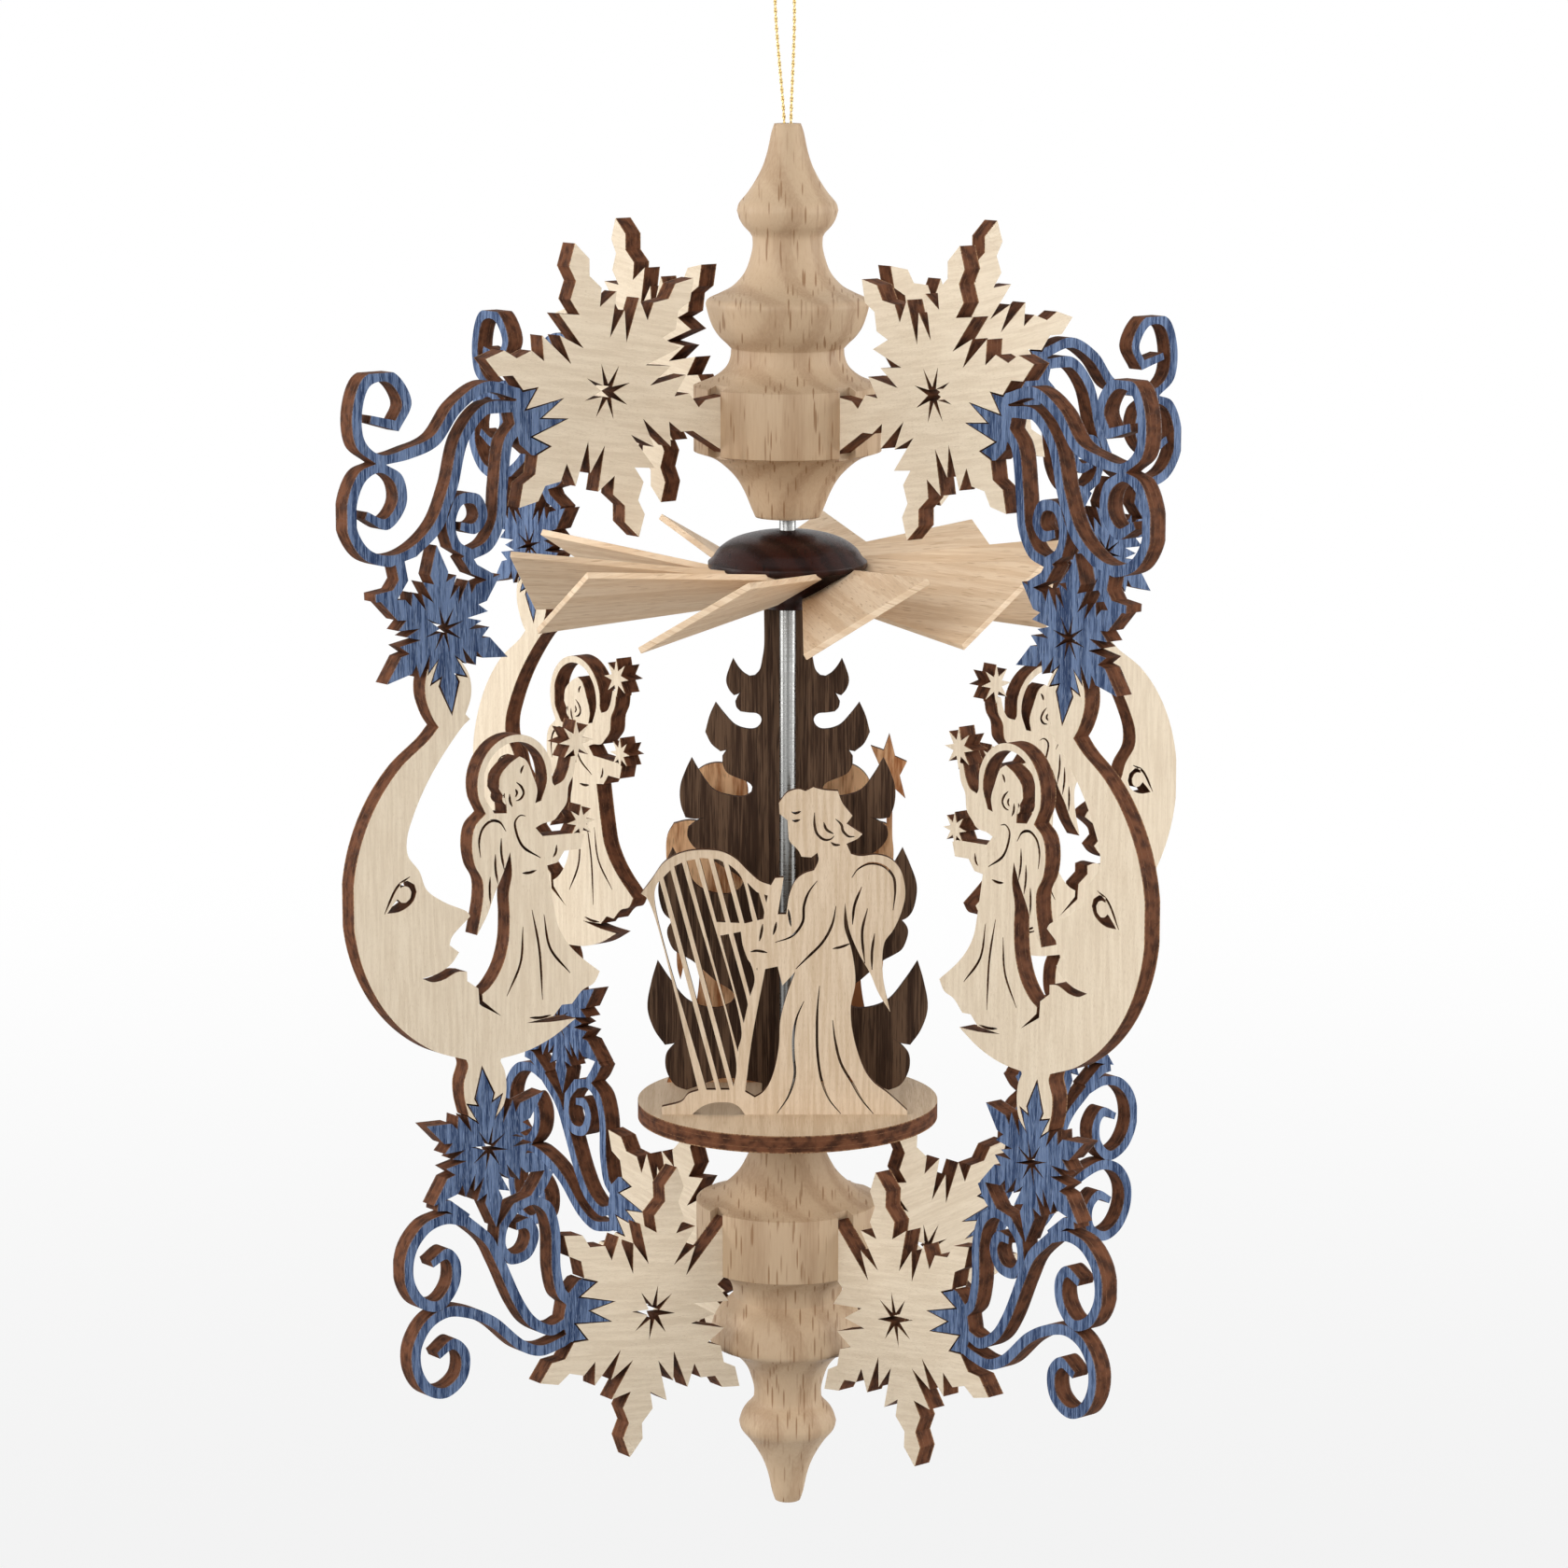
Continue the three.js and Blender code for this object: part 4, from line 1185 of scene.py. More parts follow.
def block(name: str, low: Vector, high: Vector, turn: float) -> bpy.types.Object:
    """A plain box that cuts a slot.

    Args:
        name: Its name.
        low: Its lowest corner before it is turned.
        high: Its highest corner before it is turned.
        turn: Its angle about the shaft's line.

    Returns:
        The box, hidden from the render.
    """
    work = bmesh.new()
    bmesh.ops.create_cube(work, size=1.0)
    middle, size = (low + high) / 2, high - low
    bmesh.ops.transform(work, verts=work.verts, matrix=Matrix.Rotation(turn, 4, "Z")
                        @ Matrix.Translation(middle) @ Matrix.Diagonal((*size, 1.0)))
    made = placed(name, finished(work, name))
    made.hide_render = True
    return made


BEECH = TurnedWood("turned_beech", (0.51, 0.37, 0.24), (0.4, 0.27, 0.165), (0.29, 0.17, 0.09),
                   ring=5.2 * MM, ring_share=0.34, fleck_width=0.5 * MM, fleck_length=6.5 * MM,
                   fleck_size=0.34, gloss=0.2)
HUB_WOOD = TurnedWood("stained_hub_wood", (0.027, 0.0075, 0.005), (0.011, 0.003, 0.002),
                      (0.006, 0.002, 0.0015), ring_share=0.4, roughness=0.34, gloss=0.14, coat=0.05)
PALE_PLY = Veneer("pale_plywood_face", (0.75, 0.64, 0.49), (0.655, 0.54, 0.4), (0.5, 0.37, 0.245),
                  band_width=0.6 * MM, band_length=9 * MM, spread=0.24)
BLUE_PLY = Veneer("blue_stained_plywood_face", (0.128, 0.184, 0.31), (0.019, 0.037, 0.093),
                  (0.27, 0.34, 0.47), band_width=0.8 * MM, band_length=18 * MM,
                  pore_share=0.8, fibre_share=0.9, spread=0.13, gloss=0.12)
DISC_PLY = Veneer("disc_plywood_face", (0.6, 0.465, 0.325), (0.5, 0.37, 0.245), (0.34, 0.22, 0.13),
                  band_width=1.6 * MM, band_length=40 * MM)
BLADE_WOOD = Veneer("blade_veneer_face", (0.84, 0.655, 0.465), (0.74, 0.54, 0.355), (0.58, 0.4, 0.25),
                    band_width=1.3 * MM, band_length=36 * MM, pore_share=0.5, fibre_share=0.7,
                    spread=0.14, fleck=(0.62, 0.43, 0.27),
                    fleck_width=0.5 * MM, fleck_length=4.0 * MM)
TREE_WOOD = Veneer("walnut_veneer", (0.125, 0.073, 0.044), (0.042, 0.022, 0.0135),
                   (0.014, 0.0075, 0.005), band_width=2.0 * MM, band_length=60 * MM,
                   pore_share=0.85, fibre_share=0.9, gloss=0.08)
FIGURE_WOOD = Veneer("figure_veneer_face", (0.7, 0.56, 0.41), (0.57, 0.43, 0.29), (0.4, 0.26, 0.15),
                     band_width=0.6 * MM, band_length=12 * MM, spread=0.22)
# Painted shade and glow: the singers are the same pale veneer as the harp player. They are coloured a
# darker, redder brown to stand for their shade behind the tree and for the backlight shining through
# them. Their wide light and dark bands also stand for lit and shaded parts.
SINGER_WOOD_PAINTED_SHADE = Veneer("singer_veneer_painted_shade_and_glow", (0.9, 0.55, 0.3), (0.4, 0.155, 0.058), (0.16, 0.055, 0.02),
                     band_width=3.2 * MM, band_length=26 * MM, gloss=0.12)
BURNT_EDGE = BurntEdge("burnt_plywood_edge")
BLUE_BURNT_EDGE = BurntEdge("burnt_stained_edge", rim=(0.2, 0.15, 0.13))
THIN_EDGE = BurntEdge("burnt_veneer_edge", core=(0.06, 0.026, 0.014), line_place=0.0)
TREE_EDGE = BurntEdge("burnt_walnut_edge", core=(0.05, 0.026, 0.015), line=(0.11, 0.065, 0.04),
                      rim=(0.13, 0.08, 0.05), line_place=0.3)
POLISHED_STEEL = Metal("polished_steel", (0.27, 0.27, 0.262), 0.3, 0.8)
CUP_BRASS = Metal("pressed_brass", (0.72, 0.53, 0.24), 0.3)
FOIL_THREAD = MetalThread("foil_wrapped_thread")


@dataclass(frozen=True)
class Finials:
    """The two turned finials, the same piece at both ends, with slots for the arms.

    Each hole is given by its radius and its depth in millimetres.
    """

    collar_start: float = 10.1 * MM
    collar_end: float = 19.9 * MM
    collar_radius: float = 14.2 * MM
    slot_depth: float = 1.6 * MM
    slot_width: float = 3.04 * MM
    bearing_hole: Pair = (1.5, 9.0)
    thread_hole: Pair = (0.75, 6.0)
    cup_pocket: Pair = (3.05, 5.0)
    tip_dimple: Pair = (0.2, 0.3)

    def profile(self, pocket: Pair, hole: Pair) -> tuple[Line, ...]:
        """The finial's profile from its narrow foot up, in runs of height and radius.

        Args:
            pocket: Radius and depth of the pocket in its foot, in millimetres.
            hole: Radius and depth of the hole in its tip, in millimetres.

        Returns:
            The runs, in millimetres turned to metres.
        """
        tip, foot_radius, tip_radius = 59.0, 4.9, 2.0
        pocket_radius, pocket_depth = pocket
        hole_radius, hole_foot = hole[0], tip - hole[1]
        runs = (
            ((pocket_depth, 0), (pocket_depth, pocket_radius)),
            ((pocket_depth, pocket_radius), (0, pocket_radius)),
            ((0, pocket_radius), (0, foot_radius)),
            ((0, foot_radius), (1.5, 5.55), (3.8, 6.5), (6.0, 7.8), (8.1, 9.9), (9.2, 11.6),
             (10.1, 14.2)),
            ((10.1, 14.2), (19.9, 14.2)),
            ((19.9, 14.2), (20.5, 12.7), (21.3, 10.9), (22.8, 9.2), (24.3, 8.6), (25.5, 8.5)),
            ((25.5, 8.5), (26.3, 9.25), (27.3, 10.3), (28.8, 11.29), (30.8, 12.0), (32.2, 12.33)),
            ((32.2, 12.33), (32.8, 12.1), (33.8, 10.1), (34.8, 8.3), (36.8, 6.5), (38.8, 5.7),
             (40.8, 5.25), (42.2, 5.3)),
            ((42.2, 5.3), (42.8, 5.65), (43.8, 6.6), (44.8, 7.2), (46.1, 7.6)),
            ((46.1, 7.6), (47.1, 7.35), (48.8, 6.0), (50.8, 4.7), (52.8, 3.7), (54.8, 3.05),
             (57.8, 2.4), (tip, tip_radius)),
            ((tip, tip_radius), (tip, hole_radius)),
            ((tip, hole_radius), (hole_foot, hole_radius)),
            ((hole_foot, hole_radius), (hole_foot, 0)),
        )
        return moved(runs, 0.0, MM, MM)

    def slots(self, foot: float, side: int) -> list[bpy.types.Object]:
        """Boxes that cut the slots for the arms.

        Args:
            foot: Height of the finial's narrow foot.
            side: 1 where the finial points up, -1 where it points down.

        Returns:
            The boxes.
        """
        spread = (self.collar_start - MM, self.collar_end + MM)
        ends = sorted(foot + side * height for height in spread)
        low = Vector((self.collar_radius - self.slot_depth, -self.slot_width / 2, ends[0]))
        high = Vector((self.collar_radius + MM, self.slot_width / 2, ends[1]))
        turns = [ARM_TURN + 2 * math.pi * arm / ARM_COUNT for arm in range(ARM_COUNT)]
        return [block(f"arm_slot_{index}", low, high, turn) for index, turn in enumerate(turns)]

    def build(self) -> None:
        """Turns both finials and puts the brass finish on the cup that the shaft's point runs in."""
        finials = (
            ("upper_finial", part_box("upper_finial")[0].z, 1, self.bearing_hole, self.thread_hole),
            ("lower_finial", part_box("lower_finial")[1].z, -1, self.cup_pocket, self.tip_dimple),
        )
        for name, foot, side, pocket, hole in finials:
            runs = [run[::side] for run in self.profile(pocket, hole)[::side]]
            piece = Turning(f"turned_{name}", moved(runs, foot, side, 1.0), BEECH)
            hold(piece.build(self.slots(foot, side)), Body.FRAME, Slot.BEECH, name)
        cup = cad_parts["pivot_cup"]
        cup.data.materials.clear()
        cup.data.materials.append(CUP_BRASS.material())


@dataclass(frozen=True)
class Arms:
    """The four fretted arms, five flat pieces let into one another in each."""

    thick: float = 3.0 * MM
    step: float = 0.45 * MM
    slit_width: float = 0.42 * MM
    cut_scale: float = 0.98
    cut_shift: Pair = (0.82, -0.3)
    upper_snow: Spot = (35.1, 62.45)
    lower_snow: Spot = (27.55, -78.35)
    root_reach: float = 17.3 * MM
    upper_small: Spot = (64.6, 30.3)
    lower_small: Spot = (57.8, -47.5)
    small_reach: float = 12.4 * MM
    upper_star_turn: float = math.radians(30)
    lower_star_turn: float = math.radians(12)
    star_reach: float = 3.5 * MM
    star_core: float = 0.8 * MM
    star_rays: int = 8
    scroll_corner: float = math.radians(75)
    snow_corner: float = math.radians(6)
    snow_grain: float = math.radians(81)

    def corners(self, name: str) -> tuple[float, Sequence[tuple[Spot, float]]]:
        """Which corners of a piece stay sharp.

        Args:
            name: The piece's name without its number.

        Returns:
            The angle above which they do, and the round places where all of them do.
        """
        if name.endswith("snowflake"):
            return self.snow_corner, ()
        if not name.endswith("scroll"):
            return SHARP_CORNER, ()
        upper = name.startswith("upper")
        snow = self.upper_snow if upper else self.lower_snow
        small = self.upper_small if upper else self.lower_small
        places = (drawn(*snow), self.root_reach), (drawn(*small), self.small_reach)
        return self.scroll_corner, places

    def star_cut(self, centre: Spot, turn: float) -> list[Line]:
        """The star in a small snowflake.

        Args:
            centre: Its centre in millimetres.
            turn: Angle of its first ray.

        Returns:
            Its outline.
        """
        return [star(drawn(*centre), self.star_reach, self.star_core, self.star_rays, turn)]

    def moon_cuts(self) -> list[Line]:
        """Cuts of the moon's brow and of the angel's wing, dress and hair.

        Returns:
            Their outlines.
        """
        brow = [[(71.8, -4.8), (74.0, -6.0), (76.4, -9.8)]]
        wing = [
            [(54.4, -0.2), (55.5, 1.3), (57.1, 1.7), (58.6, 0.8), (59.3, -1.0), (59.1, -3.6)],
            [(55.3, -1.1), (55.3, -3.4), (54.8, -6.0)],
            [(56.4, -3.4), (56.4, -5.6), (56.0, -7.9)],
            [(57.4, -6.7), (57.5, -8.7), (57.4, -10.8)],
        ]
        dress = [
            [(47.6, -13.7), (46.5, -19.0), (42.8, -23.4)],
            [(49.8, -12.7), (48.5, -19.0), (48.0, -26.8)],
            [(51.5, -15.1), (52.0, -20.5), (54.6, -25.3)],
            [(48.9, -6.8), (50.2, -7.0), (51.5, -6.9)],
            [(50.8, 1.7), (51.8, 1.9), (52.7, 1.1), (52.6, -0.3), (51.4, -2.8), (48.1, -5.0)],
            [(45.1, -3.4), (45.3, -4.6), (45.8, -5.2)],
            [(46.4, -29.4), (48.4, -29.5), (50.4, -29.2)],
        ]
        hair = [
            [(52.4, 7.0), (51.5, 6.2), (51.1, 5.2), (51.7, 4.4), (52.5, 4.2)],
            [(52.6, 6.0), (52.3, 5.3), (52.7, 4.8)],
            [(53.7, 5.4), (53.6, 4.2), (53.2, 3.4)],
            [(54.6, 5.6), (54.8, 4.7), (54.4, 3.9)],
            [(51.0, 9.4), (51.4, 8.9), (51.6, 8.2)],
        ]
        return cuts((*brow, *wing, *dress, *hair), self.slit_width, self.cut_scale, self.cut_shift)

    def build(self) -> None:
        """Builds the five flat pieces of each arm."""
        pale = (PALE_PLY, BURNT_EDGE, Slot.PLYWOOD)
        blue = (BLUE_PLY, BLUE_BURNT_EDGE, Slot.BLUE_PLYWOOD)
        pieces = (
            ("upper_snowflake", [], *pale),
            ("upper_scroll", self.star_cut(self.upper_small, self.upper_star_turn), *blue),
            ("moon_angel", self.moon_cuts(), *pale),
            ("lower_scroll", self.star_cut(self.lower_small, self.lower_star_turn), *blue),
            ("lower_snowflake", [], *pale),
        )
        for index in range(ARM_COUNT):
            number = index + 1
            plane = PlatePlane(ARM_TURN + 2 * math.pi * index / ARM_COUNT)
            for order, (name, holes, face, edge, slot) in enumerate(pieces):
                node = f"{name}_{number}"
                sharp, crisp = self.corners(name)
                loops = node_loops(node, plane)
                outlines = [smoothed(loop, self.step, sharp, crisp) for loop in loops]
                plate = Plate(f"fretted_{node}", outlines + holes, plane, self.thick, face, edge,
                              number * 5.0 + order, self.snow_grain if "snow" in name else 0.0)
                hold(plate.build(), Body.FRAME, slot, node)


@dataclass(frozen=True)
class Turntable:
    """The round floor with the tree and the figures that stand on it."""

    disc_radius: float = 23.2 * MM
    disc_thick: float = 2.7 * MM
    disc_sides: int = 180
    hole_radius: float = 1.5 * MM
    hole_sides: int = 32
    tree_thick: float = 1.0 * MM
    tree_middle: float = 2.05 * MM
    figure_thick: float = 1.2 * MM
    angel_middle: float = -9.6 * MM
    singer_middle: float = 10.6 * MM
    slit_width: float = 0.4 * MM
    cut_scale: float = 0.9933
    cut_shift: Pair = (0.0, 0.874)
    step: float = 0.4 * MM

    def angel_cuts(self) -> list[Line]:
        """Cuts of the harp player's wing, sleeve, belt, dress, hair, face and fingers.

        Returns:
            Their outlines.
        """
        lines = (
            [(9.8, -13.5), (10.7, -12.2), (12.5, -11.3), (14.6, -11.7), (16.1, -13.3), (16.4, -15.4),
             (16.1, -18.6)],
            [(11.3, -14.9), (10.2, -17.9), (9.9, -20.8)],
            [(12.2, -18.3), (11.4, -21.9), (11.8, -26.9)],
            [(13.3, -22.2), (12.9, -25.0), (12.9, -27.9)],
            [(4.5, -14.0), (3.2, -15.8), (2.5, -17.9), (2.3, -20.4), (0.7, -22.6), (-1.9, -23.6)],
            [(7.4, -17.9), (6.8, -20.8), (5.4, -23.5), (2.9, -26.1), (1.25, -27.75)],
            [(6.9, -24.6), (8.2, -24.3), (9.5, -23.8)],
            [(2.5, -32.8), (1.4, -35.4), (0.9, -38.3), (0.9, -41.1), (1.1, -44.4), (0.2, -47.6),
             (-1.6, -50.5)],
            [(4.9, -30.4), (4.6, -33.6), (4.5, -37.2), (4.6, -41.1), (5.2, -45.1), (6.4, -48.3),
             (8.2, -50.6)],
            [(6.9, -35.8), (7.3, -39.0), (8.2, -42.6), (10.0, -45.8), (11.4, -48.3), (13.2, -50.6)],
            [(4.1, -3.4), (4.1, -5.2), (4.5, -6.7), (5.6, -7.6), (6.6, -7.5), (7.1, -7.0)],
            [(5.5, -4.9), (5.9, -6.0), (7.0, -6.7)],
            [(7.3, -4.4), (8.2, -5.3), (8.4, -6.2), (9.3, -7.1), (10.2, -7.1)],
            [(6.6, -8.0), (7.2, -8.4), (8.0, -8.4)],
            [(0.6, -3.3), (1.2, -3.5), (2.0, -3.2)],
            [(0.7, -4.6), (1.2, -4.7), (1.9, -4.5)],
            [(-3.8, -20.7), (-4.0, -22.0), (-4.3, -23.4)],
            [(-1.7, -20.4), (-1.9, -21.4), (-2.2, -22.4)],
            [(0.1, -18.4), (0.3, -19.8), (0.5, -21.1)],
            [(-5.7, -25.1), (-4.7, -24.9), (-3.1, -25.2)],
        )
        return cuts(lines, self.slit_width, self.cut_scale, self.cut_shift)

    def build(self) -> None:
        """Builds the floor, the tree, the harp player and the singers."""
        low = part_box("disc")[0].z
        plane = LevelPlane(height=low + self.disc_thick / 2)
        outlines = [circle(self.disc_radius, self.disc_sides),
                    circle(self.hole_radius, self.hole_sides)]
        disc = Plate("round_floor", outlines, plane, self.disc_thick, DISC_PLY, BURNT_EDGE).build()
        hold(disc, Body.SPINNER, Slot.DISC_PLYWOOD, "disc")
        figures = (
            ("tree", self.tree_middle, self.tree_thick, [], TREE_WOOD, TREE_EDGE, Slot.WALNUT),
            ("harp_angel", self.angel_middle, self.figure_thick, self.angel_cuts(), FIGURE_WOOD,
             THIN_EDGE, Slot.FIGURE_VENEER),
            ("back_figures", self.singer_middle, self.figure_thick, [], SINGER_WOOD_PAINTED_SHADE, THIN_EDGE,
             Slot.FIGURE_VENEER),
        )
        for node, middle, thick, holes, face, edge, slot in figures:
            plane = PlatePlane(0.0, middle)
            outlines = [smoothed(loop, self.step, SHARP_CORNER) for loop in node_loops(node, plane)]
            piece = Plate(f"standing_{node}", outlines + holes, plane, thick, face, edge).build()
            hold(piece, Body.SPINNER, slot, node)


@dataclass(frozen=True)
class LevelPlane(PlatePlane):
    """The middle plane of a flat piece that lies level."""

    height: float = 0.0

    def solid(self, across: float, height: float, depth: float) -> Vector:
        """A point of the plane in the object.

        Args:
            across: Distance along X.
            height: Distance along Y.
            depth: Height above the middle.

        Returns:
            The point.
        """
        return Vector((across, height, self.height + depth))


def wheel_tree() -> NodeTree:
    """Repeats a blade evenly about the shaft's line.

    Returns:
        The geometry node tree.
    """
    sockets = {**GEOMETRY_SOCKET, "Count": "NodeSocketInt", "Turn": "NodeSocketFloat"}
    graph, start, end = new_tree("bladed_wheel", "GeometryNodeTree", sockets, GEOMETRY_SOCKET)
    graph.tree.is_modifier = True
    places = graph.fill(graph.node("GeometryNodeMeshLine"), Count=start.outputs["Count"],
                        Offset=(0.0, 0.0, 0.0))
    number = graph.node("GeometryNodeInputIndex").outputs[0]
    pitch = graph.math("DIVIDE", 2 * math.pi, start.outputs["Count"])
    angle = graph.math("ADD", graph.math("MULTIPLY", number, pitch), start.outputs["Turn"])
    turn = graph.fill(graph.node("ShaderNodeCombineXYZ"), Z=angle)
    repeated = graph.fill(graph.node("GeometryNodeInstanceOnPoints"), Points=places.outputs[0],
                          Instance=start.outputs["Geometry"], Rotation=turn.outputs[0])
    marked = graph.node("GeometryNodeStoreNamedAttribute", data_type="FLOAT", domain="INSTANCE")
    graph.fill(marked, Name=PIECE_NUMBER, Geometry=repeated.outputs[0],
               Value=graph.math("MULTIPLY", number, GRAIN_SHIFT))
    real = graph.fill(graph.node("GeometryNodeRealizeInstances"), Geometry=marked.outputs[0])
    graph.feed(end.inputs[0], real.outputs[0])
    return graph.tree


@dataclass(frozen=True)
class Wheel:
    """The hub with its slanted blades, and the shaft that carries everything that turns."""

    blades: int = 10
    thick: float = 1.0 * MM
    reach: float = 39.9 * MM
    root: float = 6.6 * MM
    tip_width: float = 21.0 * MM
    root_width: float = 8.7 * MM
    offset: float = 5.1 * MM
    lift: float = 3.9 * MM
    pitch: float = math.radians(30.5)
    turn: float = math.radians(-116.8)
    edge: float = 0.12 * MM
    hub_radius: float = 12.1 * MM
    hub_height: float = 11.9 * MM
    shaft_radius: float = 1.25 * MM
    point_length: float = 2.2 * MM
    shaft_sides: int = 48
    shaft_step: float = 4 * MM
    shaft_edge: float = 0.05 * MM

    def blade(self, hub_foot: float) -> bpy.types.Object:
        """Makes one blade with soft edges, pitched and set off from the shaft.

        Args:
            hub_foot: Height of the hub's lowest point.

        Returns:
            The blade, its grain map running along it.
        """
        work = bmesh.new()
        maps = work.loops.layers.uv.new(GRAIN_MAP)
        corners = [(self.root, -self.root_width / 2), (self.reach, -self.tip_width / 2),
                   (self.reach, self.tip_width / 2), (self.root, self.root_width / 2)]
        below = [work.verts.new((*corner, -self.thick / 2)) for corner in corners]
        above = [work.verts.new((*corner, self.thick / 2)) for corner in corners]
        work.faces.new(below[::-1])
        work.faces.new(above)
        for index in range(4):
            after = (index + 1) % 4
            work.faces.new((below[index], below[after], above[after], above[index]))
        bmesh.ops.bevel(work, geom=list(work.edges), offset=self.edge, segments=2, profile=0.5,
                        affect="EDGES")
        for face in work.faces:
            face.smooth = False
            for loop in face.loops:
                place = loop.vert.co
                loop[maps].uv = (place.y + place.z, place.x)
        place = Matrix.Translation((0.0, self.offset, hub_foot + self.lift))
        move = place @ Matrix.Rotation(self.pitch, 4, "X")
        bmesh.ops.transform(work, verts=work.verts, matrix=move)
        bmesh.ops.recalc_face_normals(work, faces=work.faces)
        mesh = finished(work, "blade")
        mesh.materials.append(BLADE_WOOD.material())
        return placed("blade", mesh)

    def hub_runs(self, foot: float) -> tuple[Line, ...]:
        """The hub's profile in runs of height and radius, drawn in shares of its own size.

        Args:
            foot: Height of its lowest point.

        Returns:
            The runs.
        """
        runs = (
            ((0, 0.1), (0, 0.298)),
            ((0, 0.298), (0.05, 0.36), (0.109, 0.43), (0.261, 0.669), (0.412, 0.818), (0.5, 0.95),
             (0.529, 1)),
            ((0.529, 1), (0.597, 1)),
            ((0.597, 1), (0.639, 0.95), (0.756, 0.868), (0.874, 0.702), (0.958, 0.438), (1, 0.14)),
        )
        return moved(runs, foot, self.hub_height, self.hub_radius)

    def build(self) -> None:
        """Builds the shaft, the hub and the ring of blades."""
        hub_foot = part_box("hub")[0].z
        hub = Turning("turned_hub", self.hub_runs(hub_foot), HUB_WOOD).build()
        hold(hub, Body.SPINNER, Slot.DARK_WOOD, "hub")
        ring = self.blade(hub_foot)
        use_tree(ring, wheel_tree(), {"Count": self.blades, "Turn": self.turn})
        nodes = [f"blade_{number:02d}" for number in range(1, self.blades + 1)]
        hold(baked(ring, "ring_of_blades"), Body.SPINNER, Slot.BLADE_VENEER, *nodes)
        low, high = (corner.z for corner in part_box("shaft"))
        runs = (
            [(low, 0.0), (low + self.point_length, self.shaft_radius)],
            [(low + self.point_length, self.shaft_radius), (high, self.shaft_radius)],
            [(high, self.shaft_radius), (high, 0.0)],
        )
        shaft = Turning("ground_shaft", runs, POLISHED_STEEL, self.shaft_sides, self.shaft_step,
                        self.shaft_edge).build()
        hold(shaft, Body.SPINNER, Slot.STEEL, "shaft")


@dataclass(frozen=True)
class Thread:
    """The loop of thread that the spinner hangs by, laid up from two plies."""

    radius: float = 0.25 * MM
    rise: float = 24.0 * MM
    half_width: float = 1.2 * MM
    foot_half_width: float = 0.5 * MM
    drift: float = 0.5 * MM
    hidden: float = 5.45 * MM
    plies: int = 2
    lay: float = 2.6 * MM
    sides: int = 10
    step: float = 0.16 * MM

    def route(self, tip: float) -> list[Vector]:
        """The thread's middle line, up one strand and down the other.

        Args:
            tip: Height of the upper finial's tip.

        Returns:
            Points of a smooth line.
        """
        crest = tip + self.rise
        shoulder = crest - self.half_width * 2
        marks = [
            (-self.foot_half_width, tip - self.hidden), (-self.foot_half_width, tip),
            (-self.half_width - self.drift, shoulder), (-self.drift, crest),
            (self.half_width - self.drift, shoulder), (self.foot_half_width, tip),
            (self.foot_half_width, tip - self.hidden),
        ]
        return [Vector((across, 0.0, height)) for across, height in curve_through(marks, self.step)]

    def build(self) -> None:
        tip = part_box("upper_finial")[1].z
        route = self.route(tip)
        work = bmesh.new()
        maps = work.loops.layers.uv.new(GRAIN_MAP)
        for ply in range(self.plies):
            self._ply(work, maps, route, 2 * math.pi * ply / self.plies)
        for face in work.faces:
            face.smooth = True
        mesh = finished(work, "thread_loop")
        mesh.materials.append(FOIL_THREAD.material())
        loop = placed("thread_loop", mesh)
        hold(loop, Body.FRAME, Slot.GOLD_THREAD, "hanging_loop")

    def _ply(self, work: bmesh.types.BMesh, maps: object, route: list[Vector],
             start: float) -> None:
        """Adds one ply, wound round the middle line.

        Args:
            work: The mesh being made.
            maps: Its grain map.
            route: The middle line.
            start: Angle that the ply starts at.
        """
        rings, run = [], 0.0
        for index, spot in enumerate(route):
            ahead, behind = route[min(index + 1, len(route) - 1)], route[max(index - 1, 0)]
            heading = (ahead - behind).normalized()
            aside = Vector((0.0, 1.0, 0.0))
            across = heading.cross(aside).normalized()
            run += (spot - route[index - 1]).length if index else 0.0
            angle = start + 2 * math.pi * run / self.lay
            middle = spot + (across * math.cos(angle) + aside * math.sin(angle)) * self.radius / 2
            turns = [2 * math.pi * step / self.sides for step in range(self.sides)]
            reach = self.radius / 2
            rings.append((run, [
                work.verts.new(middle + (across * math.cos(turn) + aside * math.sin(turn)) * reach)
                for turn in turns
            ]))
        for (low, first), (high, second) in zip(rings, rings[1:]):
            for step in range(self.sides):
                after = (step + 1) % self.sides
                face = work.faces.new((first[step], first[after], second[after], second[step]))
                shares = (step / self.sides, (step + 1) / self.sides)
                corners = ((shares[0], low), (shares[1], low), (shares[1], high), (shares[0], high))
                for loop, corner in zip(face.loops, corners):
                    loop[maps].uv = corner
        work.faces.new(rings[0][1][::-1])
        work.faces.new(rings[-1][1])


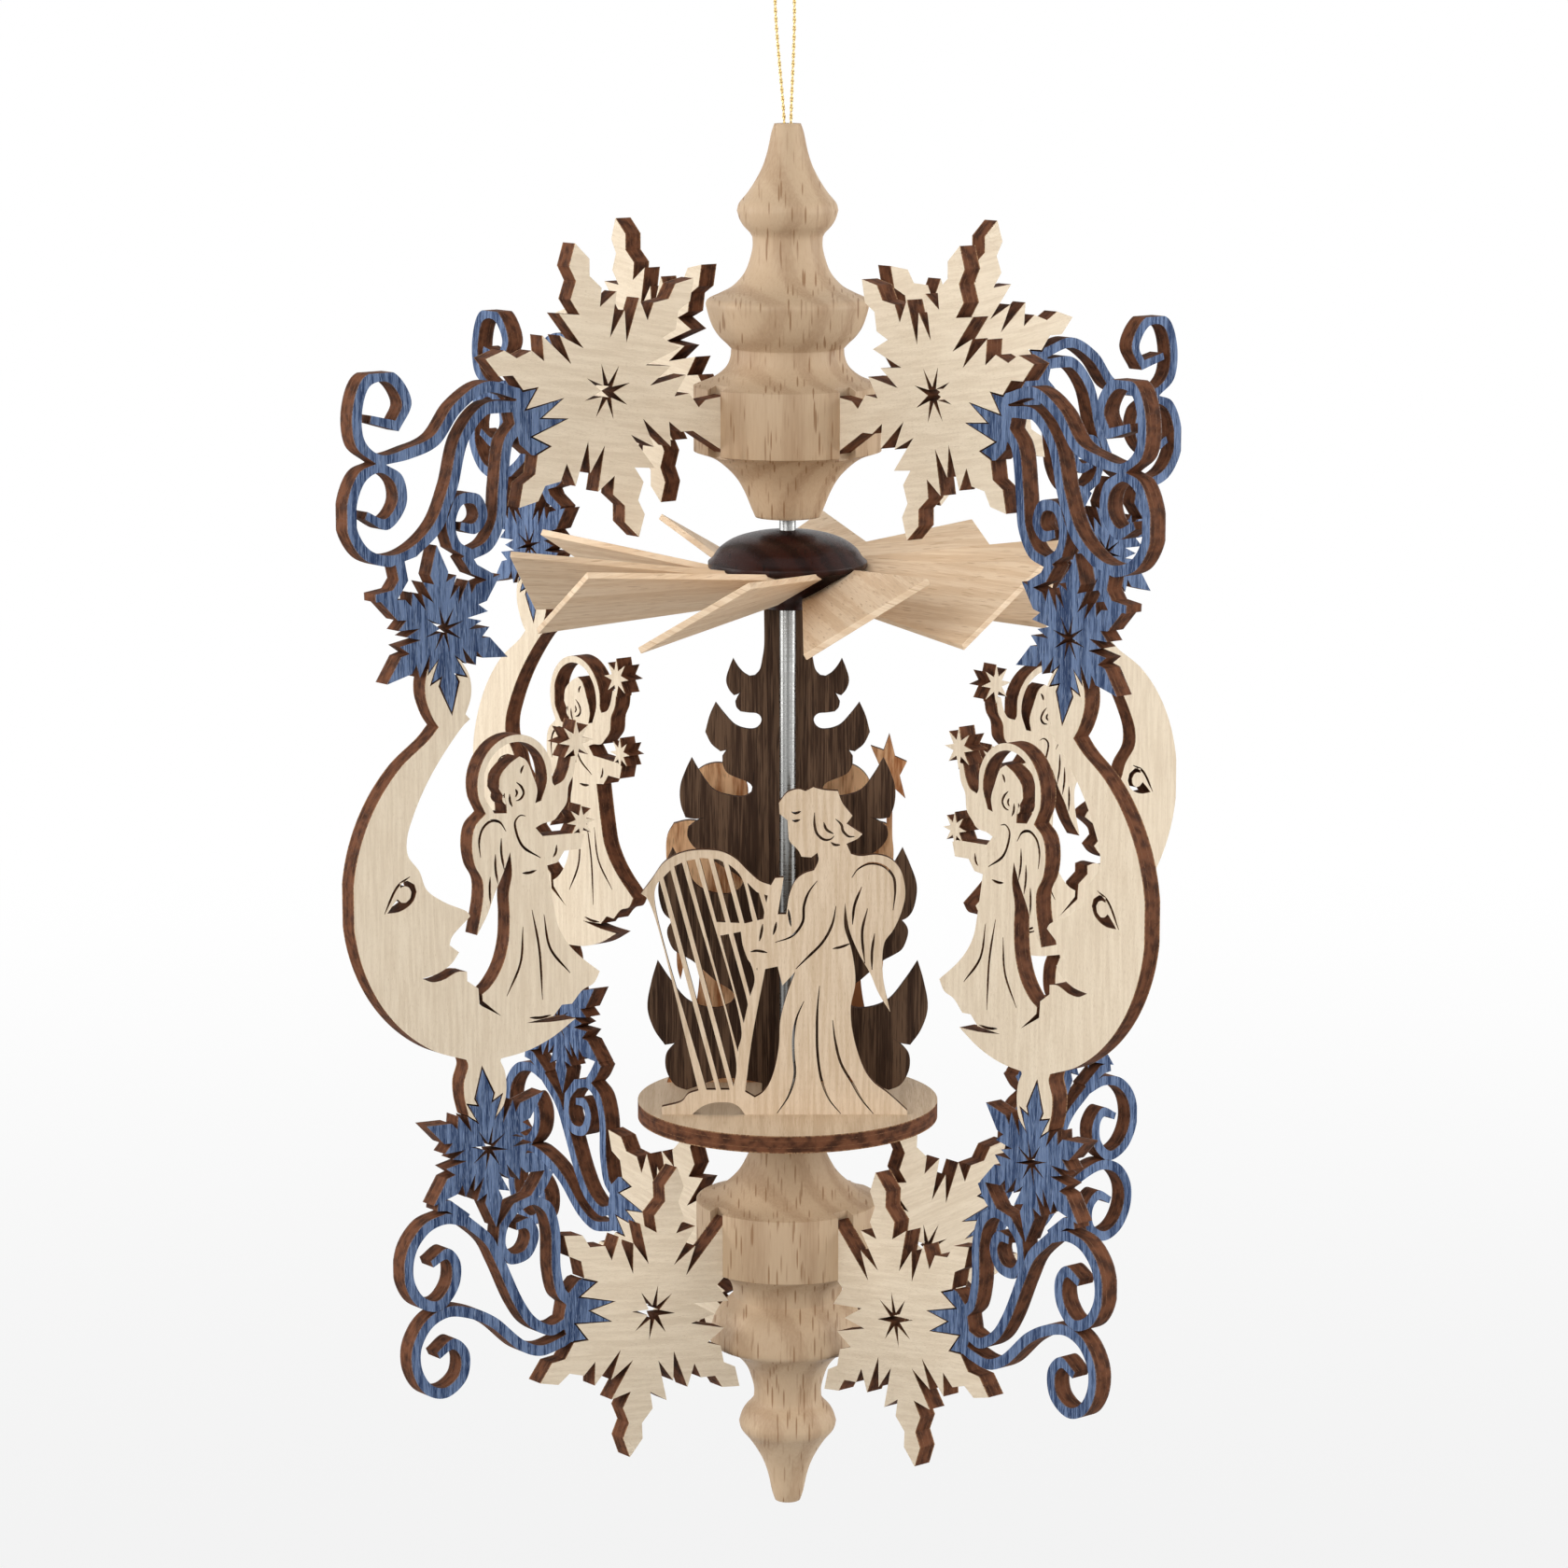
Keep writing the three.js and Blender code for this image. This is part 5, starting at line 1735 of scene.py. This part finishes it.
@dataclass(frozen=True)
class Studio:
    """The camera at the photograph's angle, soft light and a plain pale floor.

    Each lamp is given by its name, its place, its width and its power.
    """

    camera_place: Triple = (0.0, -0.7064, 0.00655)
    target: Triple = (0.0, 0.0, -0.12395)
    lens: float = 107.76
    shift: float = -0.0023
    sensor: float = 36.0
    clip: Pair = (0.01, 100.0)
    floor_height: float = -0.75
    floor_size: float = 14.0
    floor_grey: float = 0.6
    fade_start: float = 1.2
    fade_end: float = 3.2
    near_glow: float = 0.8
    horizon_strength: float = 0.5
    zenith_strength: float = 0.6
    lamps: tuple[tuple[str, Triple, float, float], ...] = (
        ("key", (-0.7, -1.15, 0.42), 0.9, 10.0),
        ("fill", (0.9, -1.0, 0.1), 1.0, 4.4),
        ("left_side", (-0.5, 0.0, -0.02), 0.3, 1.4),
        ("right_side", (0.5, 0.0, -0.02), 0.3, 1.4),
    )

    def build(self) -> None:
        """Builds the camera, the world, the lamps and the floor."""
        scene = bpy.context.scene
        scene.view_settings.view_transform = "Standard"
        data = bpy.data.cameras.new("camera")
        data.lens, data.sensor_width, data.shift_x = self.lens, self.sensor, self.shift
        data.clip_start, data.clip_end = self.clip
        scene.camera = self._aimed("camera", data, self.camera_place)
        self._world(scene)
        self._floor()
        for name, place, size, power in self.lamps:
            data = bpy.data.lights.new(name, "AREA")
            data.size, data.energy = size, power
            self._aimed(name, data, place)

    def _seen(self, graph: Graph) -> Socket:
        """Where the background shows as plain white: to the camera, in mirrors and through glass."""
        path = graph.node("ShaderNodeLightPath")
        first = graph.math("MAXIMUM", path.outputs["Is Camera Ray"], path.outputs["Is Glossy Ray"])
        return graph.math("MAXIMUM", first, path.outputs["Is Transmission Ray"])

    def _world(self, scene: bpy.types.Scene) -> None:
        """Makes the world white, and as a light brighter overhead than at the horizon."""
        world = bpy.data.worlds.new("studio")
        world.use_nodes = True
        scene.world = world
        graph = Graph(world.node_tree)
        shader = world.node_tree.nodes["Background"]
        graph.feed(shader.inputs["Color"], (1.0, 1.0, 1.0))
        upward = graph.split(graph.node("ShaderNodeTexCoord").outputs["Generated"])["Z"]
        light = graph.span(upward, 0.0, 1.0, self.horizon_strength, self.zenith_strength)
        graph.feed(shader.inputs["Strength"], graph.mix(self._seen(graph), light, 1.0, "FLOAT"))

    def _floor(self) -> None:
        """Lays the plain pale floor far below the object; it fades into the white far away."""
        mesh = bpy.data.meshes.new("floor")
        half = self.floor_size / 2
        ring = ((-half, -half), (half, -half), (half, half), (-half, half))
        corners = [(x, y, self.floor_height) for x, y in ring]
        mesh.from_pydata(corners, [], [(0, 1, 2, 3)])
        material, graph, shader = Finish("pale_floor").start()
        graph.fill(shader, Base_Color=(self.floor_grey,) * 3, Roughness=0.9)
        glow = graph.node("ShaderNodeEmission")
        both = graph.node("ShaderNodeMixShader")
        away = graph.length(graph.node("ShaderNodeTexCoord").outputs["Object"])
        share = graph.span(away, self.fade_start, self.fade_end, self.near_glow, 1.0)
        graph.feed(both.inputs[0], graph.math("MULTIPLY", self._seen(graph), share))
        graph.feed(both.inputs[1], shader.outputs[0])
        graph.feed(both.inputs[2], glow.outputs[0])
        graph.feed(material.node_tree.nodes["Material Output"].inputs["Surface"], both.outputs[0])
        mesh.materials.append(material)
        placed("floor", mesh)

    def _aimed(self, name: str, data: bpy.types.ID, place: Triple) -> bpy.types.Object:
        """Places the camera or a lamp and turns it to the object.

        Args:
            name: Its name.
            data: Its data.
            place: Where it hangs.

        Returns:
            Its object.
        """
        made = placed(name, data)
        made.location = place
        heading = Vector(self.target) - Vector(place)
        made.rotation_euler = heading.to_track_quat("-Z", "Y").to_euler()
        return made


def main() -> None:
    """Builds the studio and every sub-assembly."""
    logging.basicConfig(level=logging.INFO, format="%(name)s %(message)s")
    for part in (Studio(), Thread(), Finials(), Arms(), Turntable(), Wheel()):
        LOG.info("building %s", type(part).__name__)
        part.build()


if __name__ == "__main__":
    main()
